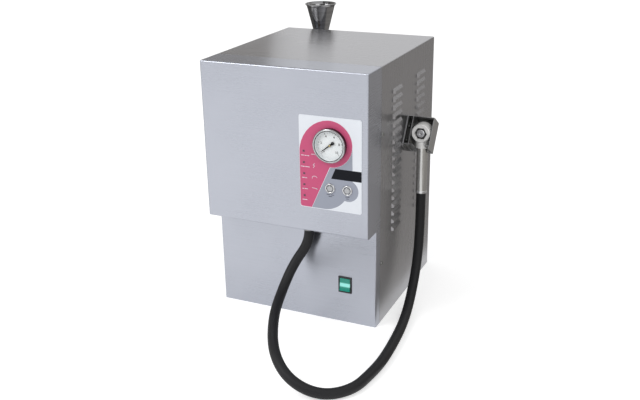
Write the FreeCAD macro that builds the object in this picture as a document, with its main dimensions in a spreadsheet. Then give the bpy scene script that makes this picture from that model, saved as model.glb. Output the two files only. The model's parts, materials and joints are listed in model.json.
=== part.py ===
import FreeCAD, Part
import Sketcher
import math
import os
import re

# Jewelry steam cleaner in millimetres: X to the right, Y to the back, Z up,
# origin at the middle of the underside that it stands on.

os.makedirs("parts", exist_ok=True)
doc = FreeCAD.newDocument("steam_cleaner")
sheet = doc.addObject("Spreadsheet::Sheet", "size")

SIZES = {
    # cabinet
    "cabinet_width": 350,
    "base_depth": 340,
    "cabinet_height": 532,
    "head_height": 321,
    "overhang": 45,
    "steel": 1.5,
    "bend_radius": 3,
    "seam_setback": 21,
    "seam_gap": 0.8,
    "joggle": 18,
    "joggle_root": 4,
    "pan_rim": 24,
    # louvers
    "louver_length": 49,
    "louver_height": 10,
    "louver_rise": 4.5,
    "louver_slope": 3.5,
    "louver_pitch": 16.8,
    "louver_rows": 18,
    "louver_columns": 2,
    "louver_top_margin": 61,
    "louver_front_margin": 87,
    "louver_column_pitch": 144,
    # cover screws
    "screw_setback": 7.5,
    "screw_low": 132,
    "screw_high_drop": 131,
    "screw_radius": 2,
    "screw_head_radius": 4.5,
    "screw_head_height": 2.4,
    "screw_grip": 8,
    "screw_clearance": 0.3,
    # control overlay
    "overlay_width": 127,
    "overlay_height": 184,
    "overlay_thickness": 1,
    "overlay_margin": 13,
    "overlay_drop": 86,
    "overlay_corner": 4,
    # pressure gauge
    "gauge_inset": 75.4,
    "gauge_drop": 139.5,
    "gauge_radius": 34,
    "gauge_lip": 5,
    "gauge_stand": 10.5,
    "gauge_wall": 1.2,
    "gauge_flange": 2,
    "bezel_round": 2.4,
    "gauge_depth": 30,
    "case_radius": 30,
    "lens_thickness": 1.6,
    "dial_thickness": 0.8,
    "needle_reach": 23,
    "needle_tail": 11,
    "needle_thickness": 0.6,
    "needle_hub": 2.6,
    "hub_height": 3.2,
    "needle_lift": 1.4,
    "spindle_radius": 1.1,
    "spindle_depth": 5,
    "stem_radius": 8,
    "stem_length": 18,
    "stem_step": 2,
    # push buttons
    "button_spacing": 35.3,
    "button_inset": 41.9,
    "button_drop": 225.4,
    "button_bezel_radius": 10.3,
    "button_barrel_radius": 7.8,
    "button_barrel_length": 14,
    "button_bezel_height": 2.5,
    "button_cap_radius": 6.5,
    "button_cap_height": 2.2,
    "button_travel": 2.5,
    "button_switch": 19,
    "button_switch_depth": 16,
    "button_skirt": 8,
    "button_edge": 0.6,
    "button_dish": 0.9,
    "button_plunger": 3,
    # status lamps
    "lamp_inset": 131,
    "lamp_drop": 157,
    "lamp_pitch": 22.4,
    "lamp_count": 5,
    "lamp_radius": 1.9,
    "lamp_height": 0.6,
    "lamp_length": 8,
    "board_thickness": 1.6,
    "board_width": 16,
    "board_margin": 11,
    "spacer_radius": 2.5,
    "spacer_inset": 4,
    # mains rocker
    "rocker_inset": 66.6,
    "rocker_level": 84.5,
    "rocker_width": 28.5,
    "rocker_height": 35,
    "rocker_rim": 3,
    "rocker_stand": 2,
    "rocker_depth": 20,
    "rocker_tilt": 7,
    "rocker_wall": 1.2,
    "rocker_pivot_depth": 2,
    "rocker_pivot_radius": 1.5,
    "rocker_play": 1.1,
    "rocker_horn": 5.5,
    "rocker_waist": 4,
    "rocker_skirt": 2,
    "rocker_keel": 7,
    "rocker_keel_half": 6,
    # steam hose, its gland and its valve
    "hose_radius": 10,
    "hose_rise": 75,
    "gland_x": 40,
    "gland_setback": 25,
    "gland_height": 8,
    "gland_radius": 12.5,
    "gland_barrel": 8,
    "gland_rise": 14,
    "gland_bore": 4,
    "solenoid_block": 30,
    "solenoid_height": 27,
    "coil_radius": 15,
    "coil_length": 40,
    # handpiece holder
    "holder_tilt": 33,
    "holder_y": -10,
    "holder_drop": 159.5,
    "holder_reach": 56,
    "holder_depth": 37,
    "holder_half": 33,
    "holder_cell": 11,
    "holder_floor": 5,
    "holder_slot": 11.9,
    "holder_back_slot": 26,
    "holder_screw_spread": 15,
    # handpiece
    "nozzle_lead": 3,
    "nozzle_drop": 3,
    "nozzle_radius": 19.1,
    "nozzle_length": 28,
    "nozzle_socket": 23,
    "nozzle_recess": 4,
    "insert_radius": 8.3,
    "orifice_radius": 1.5,
    "collar_radius": 13.2,
    "tube_radius": 11.2,
    "tube_setback": 14.2,
    "ferrule_radius": 11.9,
    "ferrule_height": 6,
    "grip_reach": 130.5,
    # filling funnel and its valve
    "funnel_inset": 66,
    "funnel_setback": 40,
    "funnel_rise": 51,
    "funnel_rim_radius": 36,
    "funnel_mouth_radius": 31.8,
    "funnel_neck_radius": 18,
    "funnel_bowl": 59,
    "funnel_wall": 1,
    "spout_radius": 10,
    "spout_length": 22,
    "spout_taper": 8,
    "valve_radius": 14,
    "valve_length": 44,
    "valve_neck": 8,
    "valve_port": 4,
    "ball_radius": 8,
    "lever_length": 62,
    "lever_width": 12,
    "lever_thickness": 2.5,
    "lever_stem": 3,
    "stem_reach": 8,
    "elbow_drop": 28,
    "elbow_radius": 8,
    # boiler
    "boiler_x": -10,
    "boiler_y": 25,
    "boiler_radius": 105,
    "boiler_bottom": 80,
    "boiler_headroom": 132,
    "boiler_knuckle": 30,
    "boiler_wall": 3,
    "boss_radius": 11,
    "boss_height": 8,
    "boss_bore": 4,
    "port_circle": 54,
    "stand_radius": 74,
    "stand_ring": 14,
    "stand_height": 6,
    "leg_radius": 8,
    "heater_level": 140,
    "heater_radius": 32,
    "heater_collar": 18,
    "heater_flange": 6,
    "heater_stand": 10,
    "heater_wall": 8,
    "element_radius": 4,
    "element_spread": 12,
    "element_length": 150,
    # fittings on the boiler
    "relief_radius": 12,
    "relief_height": 44,
    "pressure_width": 40,
    "pressure_depth": 30,
    "pressure_height": 45,
    "pressure_stem": 12,
    "probe_radius": 9,
    "probe_height": 28,
    "probe_rod": 2,
    "probe_reach": 180,
    # pipes
    "pipe_radius": 5,
    "pipe_bend": 10,
    "pipe_rise": 40,
    "pipe_spacing": 20,
    "gauge_pipe_run": 108,
    "steam_pipe_run": 35,
    "nipple_length": 10,
    # drain
    "drain_level": 40,
    "spigot_radius": 6,
    "spigot_length": 28,
    # electrics
    "plate_inset": 15,
    "plate_height": 230,
    "plate_foot": 20,
    "plate_front": -120,
    "plate_length": 170,
    "contactor_depth": 48,
    "contactor_width": 50,
    "contactor_height": 70,
    "contactor_setback": 50,
    "contactor_drop": 10,
    "terminal_depth": 22,
    "terminal_width": 40,
    "terminal_height": 60,
    "terminal_setback": 10,
    "terminal_drop": 80,
    "inlet_inset": 65,
    "inlet_level": 70,
    "inlet_width": 50,
    "inlet_height": 28,
    "inlet_body_width": 28,
    "inlet_body_height": 21,
    "inlet_depth": 24,
    "inlet_flange": 3,
    "inlet_socket_width": 24,
    "inlet_socket_height": 16.5,
    "inlet_socket_depth": 17,
    "pin_setback": 5,
    "pin_spread": 7,
    "pin_offset": 2,
    "pin_width": 2,
    "pin_height": 4,
    # clearances
    "slip": 0.3,
    "running": 0.4,
    "pivot_play": 0.05,
}

for row, (alias, figure) in enumerate(SIZES.items(), start=1):
    sheet.set(f"A{row}", alias)
    sheet.set(f"B{row}", str(figure))
    sheet.setAlias(f"B{row}", alias)
doc.recompute()

# Places that several pieces share, written with the sheet's names.
SHARED = {
    "half_width": "(cabinet_width / 2)",
    "lower_front": "(-base_depth / 2)",
    "back_face": "(base_depth / 2)",
    "head_front": "(-base_depth / 2 - overhang)",
    "head_bottom": "(cabinet_height - head_height)",
    "seam_y": "(-base_depth / 2 + seam_setback)",
    "screw_high": "(cabinet_height - screw_high_drop)",
    "overlay_face": "(-base_depth / 2 - overhang - overlay_thickness)",
    "gauge_x": "(cabinet_width / 2 - gauge_inset)",
    "gauge_z": "(cabinet_height - gauge_drop)",
    "button_z": "(cabinet_height - button_drop)",
    "lamp_x": "(cabinet_width / 2 - lamp_inset)",
    "lamp_z": "(cabinet_height - lamp_drop)",
    "rocker_x": "(cabinet_width / 2 - rocker_inset)",
    "gland_y": "(-base_depth / 2 - overhang + gland_setback)",
    "gland_top": "(cabinet_height - head_height + gland_rise)",
    "cell_middle": "(cabinet_width / 2 + (holder_cell + holder_reach) / 2)",
    "holder_z": "(cabinet_height - holder_drop)",
    "nozzle_y": "(holder_y - nozzle_lead)",
    "nozzle_z": "(holder_z - nozzle_drop)",
    "tube_y": "(nozzle_y + tube_setback)",
    "hose_end_z": "(nozzle_z - grip_reach)",
    "funnel_x": "(funnel_inset - cabinet_width / 2)",
    "funnel_y": "(base_depth / 2 + funnel_setback)",
    "funnel_rim_z": "(cabinet_height + funnel_rise)",
    "funnel_neck_z": "(funnel_rim_z - funnel_bowl)",
    "spout_z": "(funnel_neck_z - spout_length)",
    "fill_level": "(spout_z - valve_length - elbow_drop)",
    "boiler_top": "(cabinet_height - boiler_headroom)",
    "boss_top": "(boiler_top + boss_height)",
    "pipe_top": "(boiler_top + pipe_rise)",
    "drain_x": "(boiler_x)",
    "plate_x": "(cabinet_width / 2 - plate_inset)",
    "inlet_x": "(cabinet_width / 2 - inlet_inset)",
    "collar_bottom": "(holder_z + (steel + slip + holder_floor - holder_half - (nozzle_y + tube_setback"
                     " - sqrt(collar_radius ^ 2 - holder_slot ^ 2) - holder_y) * sin(holder_tilt))"
                     " / cos(holder_tilt))",
}

UP = FreeCAD.Rotation()
DOWN = FreeCAD.Rotation(FreeCAD.Vector(1, 0, 0), 180)
RIGHT = FreeCAD.Rotation(FreeCAD.Vector(0, 1, 0), 90)
LEFT = FreeCAD.Rotation(FreeCAD.Vector(0, 1, 0), -90)
BACK = FreeCAD.Rotation(FreeCAD.Vector(1, 0, 0), -90)
FRONT = FreeCAD.Rotation(FreeCAD.Vector(1, 0, 0), 90)


def cells(text):
    """Turn the plain names in an expression into the sheet's cells."""
    text = str(text)
    for _ in range(5):
        text = re.sub(r"[a-z][a-z_]*", lambda found: SHARED.get(found.group(), found.group()), text)
    return re.sub(r"[a-z][a-z_]*", lambda found: "size." + found.group() if found.group() in SIZES
                  else found.group(), text)


def value(text):
    return float(sheet.evalExpression(cells(text)))


def point(*texts):
    return FreeCAD.Vector(*(value(text) for text in texts))


def place(piece, x=0, y=0, z=0, turn=UP):
    piece.Placement = FreeCAD.Placement(FreeCAD.Vector(), turn)
    for axis, text in zip("xyz", (x, y, z)):
        piece.setExpression("Placement.Base." + axis, cells(text))
    return piece


def block(name, length, width, height, x, y, z, turn=UP):
    piece = doc.addObject("Part::Box", name)
    for side, text in (("Length", length), ("Width", width), ("Height", height)):
        piece.setExpression(side, cells(text))
    return place(piece, x, y, z, turn)


def rod(name, radius, length, x, y, z, turn=UP):
    piece = doc.addObject("Part::Cylinder", name)
    piece.setExpression("Radius", cells(radius))
    piece.setExpression("Height", cells(length))
    return place(piece, x, y, z, turn)


def fused(name, *pieces):
    joined = doc.addObject("Part::MultiFuse", name)
    joined.Shapes = list(pieces)
    joined.Refine = True
    return joined


def cut(name, base, *tools):
    tool = tools[0] if len(tools) == 1 else fused(name + "_tools", *tools)
    result = doc.addObject("Part::Cut", name)
    result.Base = base
    result.Tool = tool
    result.Refine = True
    return result


def gathered(name, *pieces):
    group = doc.addObject("Part::Compound", name)
    group.Links = list(pieces)
    return group


def new_body(name):
    return doc.addObject("PartDesign::Body", name)


def new_sketch(body, name, plane, offset=0):
    sketch = body.newObject("Sketcher::SketchObject", name)
    datum = next(item for item in body.Origin.OriginFeatures if item.Role == plane)
    sketch.AttachmentSupport = [(datum, "")]
    sketch.MapMode = "FlatFace"
    sketch.setExpression("AttachmentOffset.Base.z", cells(offset))
    return sketch


def pin_down(sketch, item, end, across, up):
    """Tie one point of a sketch to the sheet."""
    for kind, text in (("DistanceX", across), ("DistanceY", up)):
        index = sketch.addConstraint(Sketcher.Constraint(kind, -1, 1, item, end, value(text)))
        sketch.setExpression(f"Constraints[{index}]", cells(text))


def draw_outline(sketch, corners):
    first = sketch.GeometryCount
    count = len(corners)
    spots = [point(across, up, 0) for across, up in corners]
    for index in range(count):
        sketch.addGeometry(Part.LineSegment(spots[index], spots[(index + 1) % count]))
    for index in range(count):
        following = first + (index + 1) % count
        sketch.addConstraint(Sketcher.Constraint("Coincident", first + index, 2, following, 1))
    for index, (across, up) in enumerate(corners):
        pin_down(sketch, first + index, 1, across, up)


def draw_circle(sketch, across, up, radius):
    circle = Part.Circle(point(across, up, 0), FreeCAD.Vector(0, 0, 1), value(radius))
    item = sketch.addGeometry(circle)
    pin_down(sketch, item, 3, across, up)
    index = sketch.addConstraint(Sketcher.Constraint("Radius", item, value(radius)))
    sketch.setExpression(f"Constraints[{index}]", cells(radius))


def rectangle(left, bottom, right, top):
    return [(left, bottom), (right, bottom), (right, top), (left, top)]


def pad(body, name, plane, offset, length, *outlines, circles=()):
    sketch = new_sketch(body, name + "_sketch", plane, offset)
    for corners in outlines:
        draw_outline(sketch, corners)
    for circle in circles:
        draw_circle(sketch, *circle)
    feature = body.newObject("PartDesign::Pad", name)
    feature.Profile = sketch
    feature.setExpression("Length", cells(length))
    doc.recompute()
    return feature


def pocket(body, name, plane, offset, depth, outlines=(), circles=(), reverse=False):
    before = body.Shape.Volume
    sketch = new_sketch(body, name + "_sketch", plane, offset)
    for corners in outlines:
        draw_outline(sketch, corners)
    for circle in circles:
        draw_circle(sketch, *circle)
    feature = body.newObject("PartDesign::Pocket", name)
    feature.Profile = sketch
    feature.Reversed = reverse
    feature.setExpression("Length", cells(depth))
    doc.recompute()
    if body.Shape.Volume > before - 1e-6:
        raise RuntimeError(name + " cuts nothing")
    return feature


def round_edges(body, name, radius, test):
    """Fillet the edges of a body's last feature whose ends and middle all pass the test."""
    last = body.Tip
    chosen = []
    for number, edge in enumerate(last.Shape.Edges, start=1):
        spots = [vertex.Point for vertex in edge.Vertexes] + [edge.CenterOfMass]
        if all(test(spot) for spot in spots):
            chosen.append(f"Edge{number}")
    fillet = body.newObject("PartDesign::Fillet", name)
    fillet.Base = (last, chosen)
    fillet.setExpression("Radius", cells(radius))
    doc.recompute()
    return fillet


def turned(name, profile, x=0, y=0, z=0, turn=UP):
    """A body of revolution: profile points are (radius, height) along its own Z axis."""
    body = new_body(name)
    sketch = new_sketch(body, name + "_sketch", "XZ_Plane")
    draw_outline(sketch, profile)
    feature = body.newObject("PartDesign::Revolution", name + "_revolution")
    feature.Profile = sketch
    feature.ReferenceAxis = (sketch, ["V_Axis"])
    feature.Angle = 360
    place(body, x, y, z, turn)
    doc.recompute()
    return body


def hexagon(across_flats):
    corners = []
    for step in range(6):
        angle = 60 * step
        corners.append((f"{across_flats} / 2 / cos(30) * cos({angle})",
                        f"{across_flats} / 2 / cos(30) * sin({angle})"))
    return corners


def rounded_route(spots, bend=None):
    """Straight runs joined by tangent arcs; without a bend, each arc is as large as its runs allow."""
    edges = []
    radii = []
    start = spots[0]
    for before, corner, after in zip(spots, spots[1:], spots[2:]):
        back = before - corner
        ahead = after - corner
        shorter = min(back.Length, ahead.Length)
        back.normalize()
        ahead.normalize()
        half_turn = (math.pi - back.getAngle(ahead)) / 2
        reach = 0.45 * shorter if bend is None else bend * math.tan(half_turn)
        radius = reach / math.tan(half_turn)
        radii.append(radius)
        entry = corner + back * reach
        leave = corner + ahead * reach
        inward = back + ahead
        inward.normalize()
        depth = radius / math.cos(half_turn) - radius
        edges.append(Part.LineSegment(start, entry).toShape())
        edges.append(Part.Arc(entry, corner + inward * depth, leave).toShape())
        start = leave
    edges.append(Part.LineSegment(start, spots[-1]).toShape())
    return Part.Wire(edges), radii


def tube_along(name, spots, radius, bend=None):
    wire, radii = rounded_route(spots, bend)
    heading = spots[1] - spots[0]
    ring = Part.Wire(Part.Circle(spots[0], heading, radius).toShape())
    solid = wire.makePipeShell([ring], True, False)
    expected = math.pi * radius ** 2 * wire.Length
    if abs(solid.Volume / expected - 1) > 0.01:
        raise RuntimeError(name + " lost its section along the route")
    piece = doc.addObject("Part::Feature", name)
    piece.Shape = solid
    return piece, radii, wire.Length


pieces = []


def keep(piece, label):
    piece.Label = label
    pieces.append(piece)
    return piece


# Cover: a folded U of sheet steel with pressed louvers in both sides

cover = new_body("cover")
pad(cover, "cover_fold", "XZ_Plane", "-back_face", "back_face - seam_y - seam_gap / 2", [
    ("-half_width", "0"),
    ("-half_width", "cabinet_height"),
    ("half_width", "cabinet_height"),
    ("half_width", "0"),
    ("half_width - steel", "0"),
    ("half_width - steel", "cabinet_height - steel"),
    ("steel - half_width", "cabinet_height - steel"),
    ("steel - half_width", "0"),
])
top_z = value("cabinet_height")
side_x = value("half_width")
round_edges(cover, "cover_bend", "bend_radius",
            lambda end: abs(end.z - top_z) < 0.01 and abs(abs(end.x) - side_x) < 0.01)
for level in ("screw_low", "screw_high"):
    pocket(cover, "hole_at_" + level, "YZ_Plane", "half_width + 1", "cabinet_width + 2",
           circles=[("seam_y + screw_setback", level, "screw_radius + screw_clearance")])

# One louver: a hood with tapered ends, open at the bottom, over a slot in the wall
louver_y = "seam_y + louver_front_margin"
louver_z = "cabinet_height - louver_top_margin"


def louver_section(name, out, inset, shrink):
    """One cross-section of the hood, drawn on a plane beside the cover's right wall."""
    sketch = new_sketch(cover, name, "YZ_Plane", "half_width + " + out)
    half = f"(louver_length / 2 - {shrink} - {inset})"
    draw_outline(sketch, rectangle(
        f"{louver_y} - {half}", f"{louver_z} - louver_height / 2",
        f"{louver_y} + {half}", f"{louver_z} + louver_height / 2 - {shrink} - {inset} * 1.6"))
    return sketch


hood = cover.newObject("PartDesign::AdditiveLoft", "louver_hood")
hood.Profile = louver_section("hood_foot", "0", "0", "0")
hood.Sections = [louver_section("hood_crest", "louver_rise", "louver_slope", "0")]
hood.Ruled = True
doc.recompute()
hollow = cover.newObject("PartDesign::SubtractiveLoft", "louver_hollow")
hollow.Profile = louver_section("hollow_foot", "(-steel - 0.5)", "0", "steel * 0.8")
hollow.Sections = [louver_section("hollow_crest", "(louver_rise - steel * 0.8)", "louver_slope", "steel * 0.8")]
hollow.Ruled = True
doc.recompute()

rows = cover.newObject("PartDesign::MultiTransform", "louver_field")
rows.Originals = [hood, hollow]
down = cover.newObject("PartDesign::LinearPattern", "louver_rows_pattern")
down.Direction = (hood.Profile[0], ["V_Axis"])
down.Reversed = True
down.setExpression("Length", cells("louver_pitch * (louver_rows - 1)"))
down.setExpression("Occurrences", cells("louver_rows"))
along = cover.newObject("PartDesign::LinearPattern", "louver_columns_pattern")
along.Direction = (hood.Profile[0], ["H_Axis"])
along.setExpression("Length", cells("louver_column_pitch * (louver_columns - 1)"))
along.setExpression("Occurrences", cells("louver_columns"))
across = cover.newObject("PartDesign::Mirrored", "louver_mirror")
across.MirrorPlane = (next(item for item in cover.Origin.OriginFeatures if item.Role == "YZ_Plane"), [""])
rows.Transformations = [down, along, across]
cover.Tip = rows
doc.recompute()
keep(cover, "cover_shell")

# Head: the overhanging front box, with the flange that the cover is screwed to

FRONT_U = [
    ("steel - half_width", "head_bottom"),
    ("steel - half_width", "cabinet_height - steel"),
    ("half_width - steel", "cabinet_height - steel"),
    ("half_width - steel", "head_bottom"),
    ("half_width - 2 * steel", "head_bottom"),
    ("half_width - 2 * steel", "cabinet_height - 2 * steel"),
    ("2 * steel - half_width", "cabinet_height - 2 * steel"),
    ("2 * steel - half_width", "head_bottom"),
]
seam_edge = "(seam_y - seam_gap / 2)"
head = new_body("head")
pad(head, "head_block", "XZ_Plane", f"-{seam_edge}", f"{seam_edge} - head_front",
    rectangle("-half_width", "head_bottom", "half_width", "cabinet_height"))
front_y = value("head_front")
round_edges(head, "head_bends", "bend_radius",
            lambda end: abs(end.y - front_y) < 0.01
            or abs(end.z - top_z) < 0.01 and abs(abs(end.x) - side_x) < 0.01)
pocket(head, "head_hollow", "XZ_Plane", "-(seam_y + 1)", "seam_y + 1 - head_front - steel",
       [rectangle("steel - half_width", "head_bottom + steel", "half_width - steel", "cabinet_height - steel")],
       reverse=True)
pocket(head, "head_floor_back", "XY_Plane", "head_bottom + steel + 1", "steel + 2",
       [rectangle("steel - half_width", "lower_front + steel", "half_width - steel", "seam_y + 1")])
pad(head, "head_flange", "XZ_Plane", "-(seam_y + joggle)", "joggle + joggle_root", FRONT_U)
pocket(head, "head_screw_holes", "YZ_Plane", "half_width + 1", "cabinet_width + 2",
       circles=[("seam_y + screw_setback", "screw_high", "screw_radius + screw_clearance")])
button_places = {"left": "(half_width - button_inset - button_spacing)", "right": "(half_width - button_inset)"}
panel_holes = [("gauge_x", "gauge_z", "case_radius + slip")]
for button_x in button_places.values():
    panel_holes.append((button_x, "button_z", "button_barrel_radius + slip"))
for lamp in range(round(value("lamp_count"))):
    panel_holes.append(("lamp_x", f"lamp_z - {lamp} * lamp_pitch", "lamp_radius + slip"))
pocket(head, "head_front_holes", "XZ_Plane", "1 - head_front", "steel + 2", circles=panel_holes)
pocket(head, "gland_hole", "XY_Plane", "head_bottom + steel + 1", "steel + 2",
       circles=[("gland_x", "gland_y", "gland_barrel + slip")])
keep(head, "head_fascia")

# Lower front panel, behind the overhang

lower = new_body("lower")
pad(lower, "lower_fold", "XY_Plane", "0", "head_bottom", [
    ("-half_width", seam_edge),
    ("-half_width", "lower_front"),
    ("half_width", "lower_front"),
    ("half_width", seam_edge),
    ("half_width - steel", seam_edge),
    ("half_width - steel", "lower_front + steel"),
    ("steel - half_width", "lower_front + steel"),
    ("steel - half_width", seam_edge),
])
lower_y = value("lower_front")
round_edges(lower, "lower_bends", "bend_radius",
            lambda end: abs(end.y - lower_y) < 0.01 and abs(abs(end.x) - side_x) < 0.01)
pad(lower, "lower_flanges", "XY_Plane", "0", "head_bottom - steel",
    rectangle("half_width - 2 * steel", "seam_y - joggle_root", "half_width - steel", "seam_y + joggle"),
    rectangle("steel - half_width", "seam_y - joggle_root", "2 * steel - half_width", "seam_y + joggle"))
pocket(lower, "lower_screw_holes", "YZ_Plane", "half_width + 1", "cabinet_width + 2",
       circles=[("seam_y + screw_setback", "screw_low", "screw_radius + screw_clearance")])
rocker_hole_x = "(rocker_width / 2 - rocker_rim + rocker_wall + slip)"
rocker_hole_z = "(rocker_height / 2 - rocker_rim + rocker_wall + slip)"
pocket(lower, "rocker_hole", "XZ_Plane", "1 - lower_front", "steel + 2",
       [rectangle(f"rocker_x - {rocker_hole_x}", f"rocker_level - {rocker_hole_z}",
                  f"rocker_x + {rocker_hole_x}", f"rocker_level + {rocker_hole_z}")])
keep(lower, "lower_front_panel")

# Back panel and floor pan

back = new_body("back")
pad(back, "back_sheet", "XZ_Plane", "-back_face", "steel",
    rectangle("steel - half_width", "0", "half_width - steel", "cabinet_height - steel"))
pad(back, "back_flanges", "XZ_Plane", "steel - back_face", "joggle",
    rectangle("steel - half_width", "pan_rim + steel", "2 * steel - half_width", "cabinet_height - steel"),
    rectangle("half_width - 2 * steel", "pan_rim + steel", "half_width - steel", "cabinet_height - steel"))
pocket(back, "back_holes", "XZ_Plane", "-(back_face + 1)", "steel + 2",
       [rectangle("inlet_x - inlet_body_width / 2 - slip", "inlet_level - inlet_body_height / 2 - slip",
                  "inlet_x + inlet_body_width / 2 + slip", "inlet_level + inlet_body_height / 2 + slip")],
       [("funnel_x", "fill_level", "elbow_radius + slip"), ("drain_x", "drain_level", "elbow_radius + slip")],
       reverse=True)
keep(back, "back_panel")

pan = new_body("pan")
pad(pan, "pan_block", "XY_Plane", "0", "pan_rim",
    rectangle("2 * steel - half_width", "lower_front + steel", "half_width - 2 * steel", "back_face - steel"))
pocket(pan, "pan_hollow", "XY_Plane", "pan_rim + 1", "pan_rim + 1 - steel",
       [rectangle("3 * steel - half_width", "lower_front + 2 * steel",
                  "half_width - 3 * steel", "back_face - 2 * steel")])
keep(pan, "base_pan")

# Screws of the cover and of the holder


def screw(name, grip, x, y, z, turn):
    return turned(name, [
        ("0", f"-({grip})"),
        ("screw_radius", f"-({grip})"),
        ("screw_radius", "0"),
        ("screw_head_radius", "0"),
        ("screw_head_radius", "screw_head_height / 2"),
        ("screw_head_radius * 0.7", "screw_head_height"),
        ("0", "screw_head_height"),
    ], x, y, z, turn)


cover_screws = []
for level in ("screw_low", "screw_high"):
    for side, x, turn in (("right", "half_width", RIGHT), ("left", "-half_width", LEFT)):
        cover_screws.append(screw(f"{level}_{side}", "screw_grip", x, "seam_y + screw_setback", level, turn))
keep(gathered("screws_of_cover", *cover_screws), "cover_screws")

# Control overlay: a thin printed plate on the head

overlay = new_body("overlay")
overlay_right = "(half_width - overlay_margin)"
overlay_top = "(cabinet_height - overlay_drop)"
pad(overlay, "overlay_plate", "XZ_Plane", "-head_front", "overlay_thickness",
    rectangle(f"{overlay_right} - overlay_width", f"{overlay_top} - overlay_height", overlay_right, overlay_top))
plate_box = overlay.Shape.BoundBox
round_edges(overlay, "overlay_corners", "overlay_corner",
            lambda end: min(abs(end.x - plate_box.XMin), abs(end.x - plate_box.XMax)) < 0.01
            and min(abs(end.z - plate_box.ZMin), abs(end.z - plate_box.ZMax)) < 0.01)
pocket(overlay, "overlay_holes", "XZ_Plane", "1 - overlay_face", "overlay_thickness + 2", circles=panel_holes)
keep(overlay, "control_overlay")

# Pressure gauge, built along its own axis, which points out of the panel

gauge_at = ("gauge_x", "overlay_face", "gauge_z", FRONT)
flange_radius = "(case_radius + gauge_flange)"
keep(turned("gauge_can", [
    ("0", "-gauge_depth"),
    ("case_radius", "-gauge_depth"),
    ("case_radius", "0"),
    (flange_radius, "0"),
    (flange_radius, "gauge_wall"),
    ("case_radius - gauge_wall", "gauge_wall"),
    ("case_radius - gauge_wall", "gauge_wall - gauge_depth"),
    ("0", "gauge_wall - gauge_depth"),
], *gauge_at), "gauge_case")
dial_face = "(gauge_wall + dial_thickness)"
keep(turned("dial", [
    ("spindle_radius + slip", "gauge_wall"),
    (flange_radius, "gauge_wall"),
    (flange_radius, dial_face),
    ("spindle_radius + slip", dial_face),
], *gauge_at), "gauge_dial")
lip_back = "(gauge_stand - gauge_wall)"
keep(turned("lens", [
    ("0", f"{lip_back} - lens_thickness"),
    (flange_radius, f"{lip_back} - lens_thickness"),
    (flange_radius, lip_back),
    ("0", lip_back),
], *gauge_at), "gauge_lens")
keep(turned("bezel", [
    (f"{flange_radius} + slip", "0"),
    ("gauge_radius", "0"),
    ("gauge_radius", "gauge_stand - bezel_round"),
    ("gauge_radius - bezel_round * 0.3", "gauge_stand - bezel_round * 0.3"),
    ("gauge_radius - bezel_round", "gauge_stand"),
    ("gauge_radius - gauge_lip", "gauge_stand"),
    ("gauge_radius - gauge_lip", lip_back),
    (f"{flange_radius} + slip", lip_back),
], *gauge_at), "gauge_bezel")

needle_plane = f"({dial_face} + running + needle_lift)"
needle_blade = new_body("needle_blade")
pad(needle_blade, "needle_outline", "XY_Plane", needle_plane, "needle_thickness", [
    ("0", "-0.5 * needle_hub"),
    ("needle_reach", "-0.3"),
    ("needle_reach", "0.3"),
    ("0", "0.5 * needle_hub"),
    ("-0.3 * needle_tail", "0.35 * needle_hub"),
    ("-0.5 * needle_tail", "needle_hub"),
    ("-needle_tail", "needle_hub"),
    ("-needle_tail", "-needle_hub"),
    ("-0.5 * needle_tail", "-needle_hub"),
    ("-0.3 * needle_tail", "-0.35 * needle_hub"),
])
needle = fused("needle", needle_blade,
               rod("needle_boss", "needle_hub", "hub_height", 0, 0, f"{dial_face} + running"),
               rod("needle_spindle", "spindle_radius", "spindle_depth + 1", 0, 0,
                   f"{dial_face} + running - spindle_depth"))
place(needle, *gauge_at[:3], FRONT * FreeCAD.Rotation(FreeCAD.Vector(0, 0, 1), 218))
keep(needle, "gauge_needle")
keep(turned("stem", [
    ("0", "0"),
    ("stem_radius", "0"),
    ("stem_radius", "stem_length * 0.6"),
    ("stem_radius - stem_step", "stem_length * 0.6"),
    ("stem_radius - stem_step", "stem_length"),
    ("0", "stem_length"),
], "gauge_x", "overlay_face + gauge_depth", "gauge_z", BACK), "gauge_stem")

# Push buttons: a bright ring, a cap with a plunger, and a switch behind

for side, button_x in button_places.items():
    button_at = (button_x, "overlay_face", "button_z", FRONT)
    ring_bore = "(button_cap_radius + slip)"
    keep(turned(side + "_ring", [
        (ring_bore, "-button_barrel_length"),
        ("button_barrel_radius", "-button_barrel_length"),
        ("button_barrel_radius", "0"),
        ("button_bezel_radius", "0"),
        ("button_bezel_radius", "button_bezel_height * 0.5"),
        ("button_bezel_radius - 2 * button_edge", "button_bezel_height"),
        (f"{ring_bore} + button_edge", "button_bezel_height"),
        (ring_bore, "button_bezel_height - button_edge"),
    ], *button_at), side + "_button_bezel")
    keep(turned(side + "_cap", [
        ("0", "slip - button_barrel_length"),
        ("button_plunger", "slip - button_barrel_length"),
        ("button_plunger", "-button_skirt"),
        ("button_cap_radius", "-button_skirt"),
        ("button_cap_radius", "button_cap_height - button_edge"),
        ("button_cap_radius - button_edge", "button_cap_height"),
        ("button_cap_radius - 2 * button_edge", "button_cap_height"),
        ("0", "button_cap_height - button_dish"),
    ], *button_at), side + "_button_cap")
    switch_y = "(overlay_face + button_barrel_length)"
    case = block(side + "_switch_case", "button_switch", "button_switch_depth", "button_switch",
                 f"{button_x} - button_switch / 2", switch_y, "button_z - button_switch / 2")
    well = rod(side + "_switch_well", "button_plunger + running", "button_travel + 3",
               button_x, f"{switch_y} - 1", "button_z", BACK)
    keep(cut(side + "_switch", case, well), side + "_button_switch")

# Status lamps on their circuit board

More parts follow.
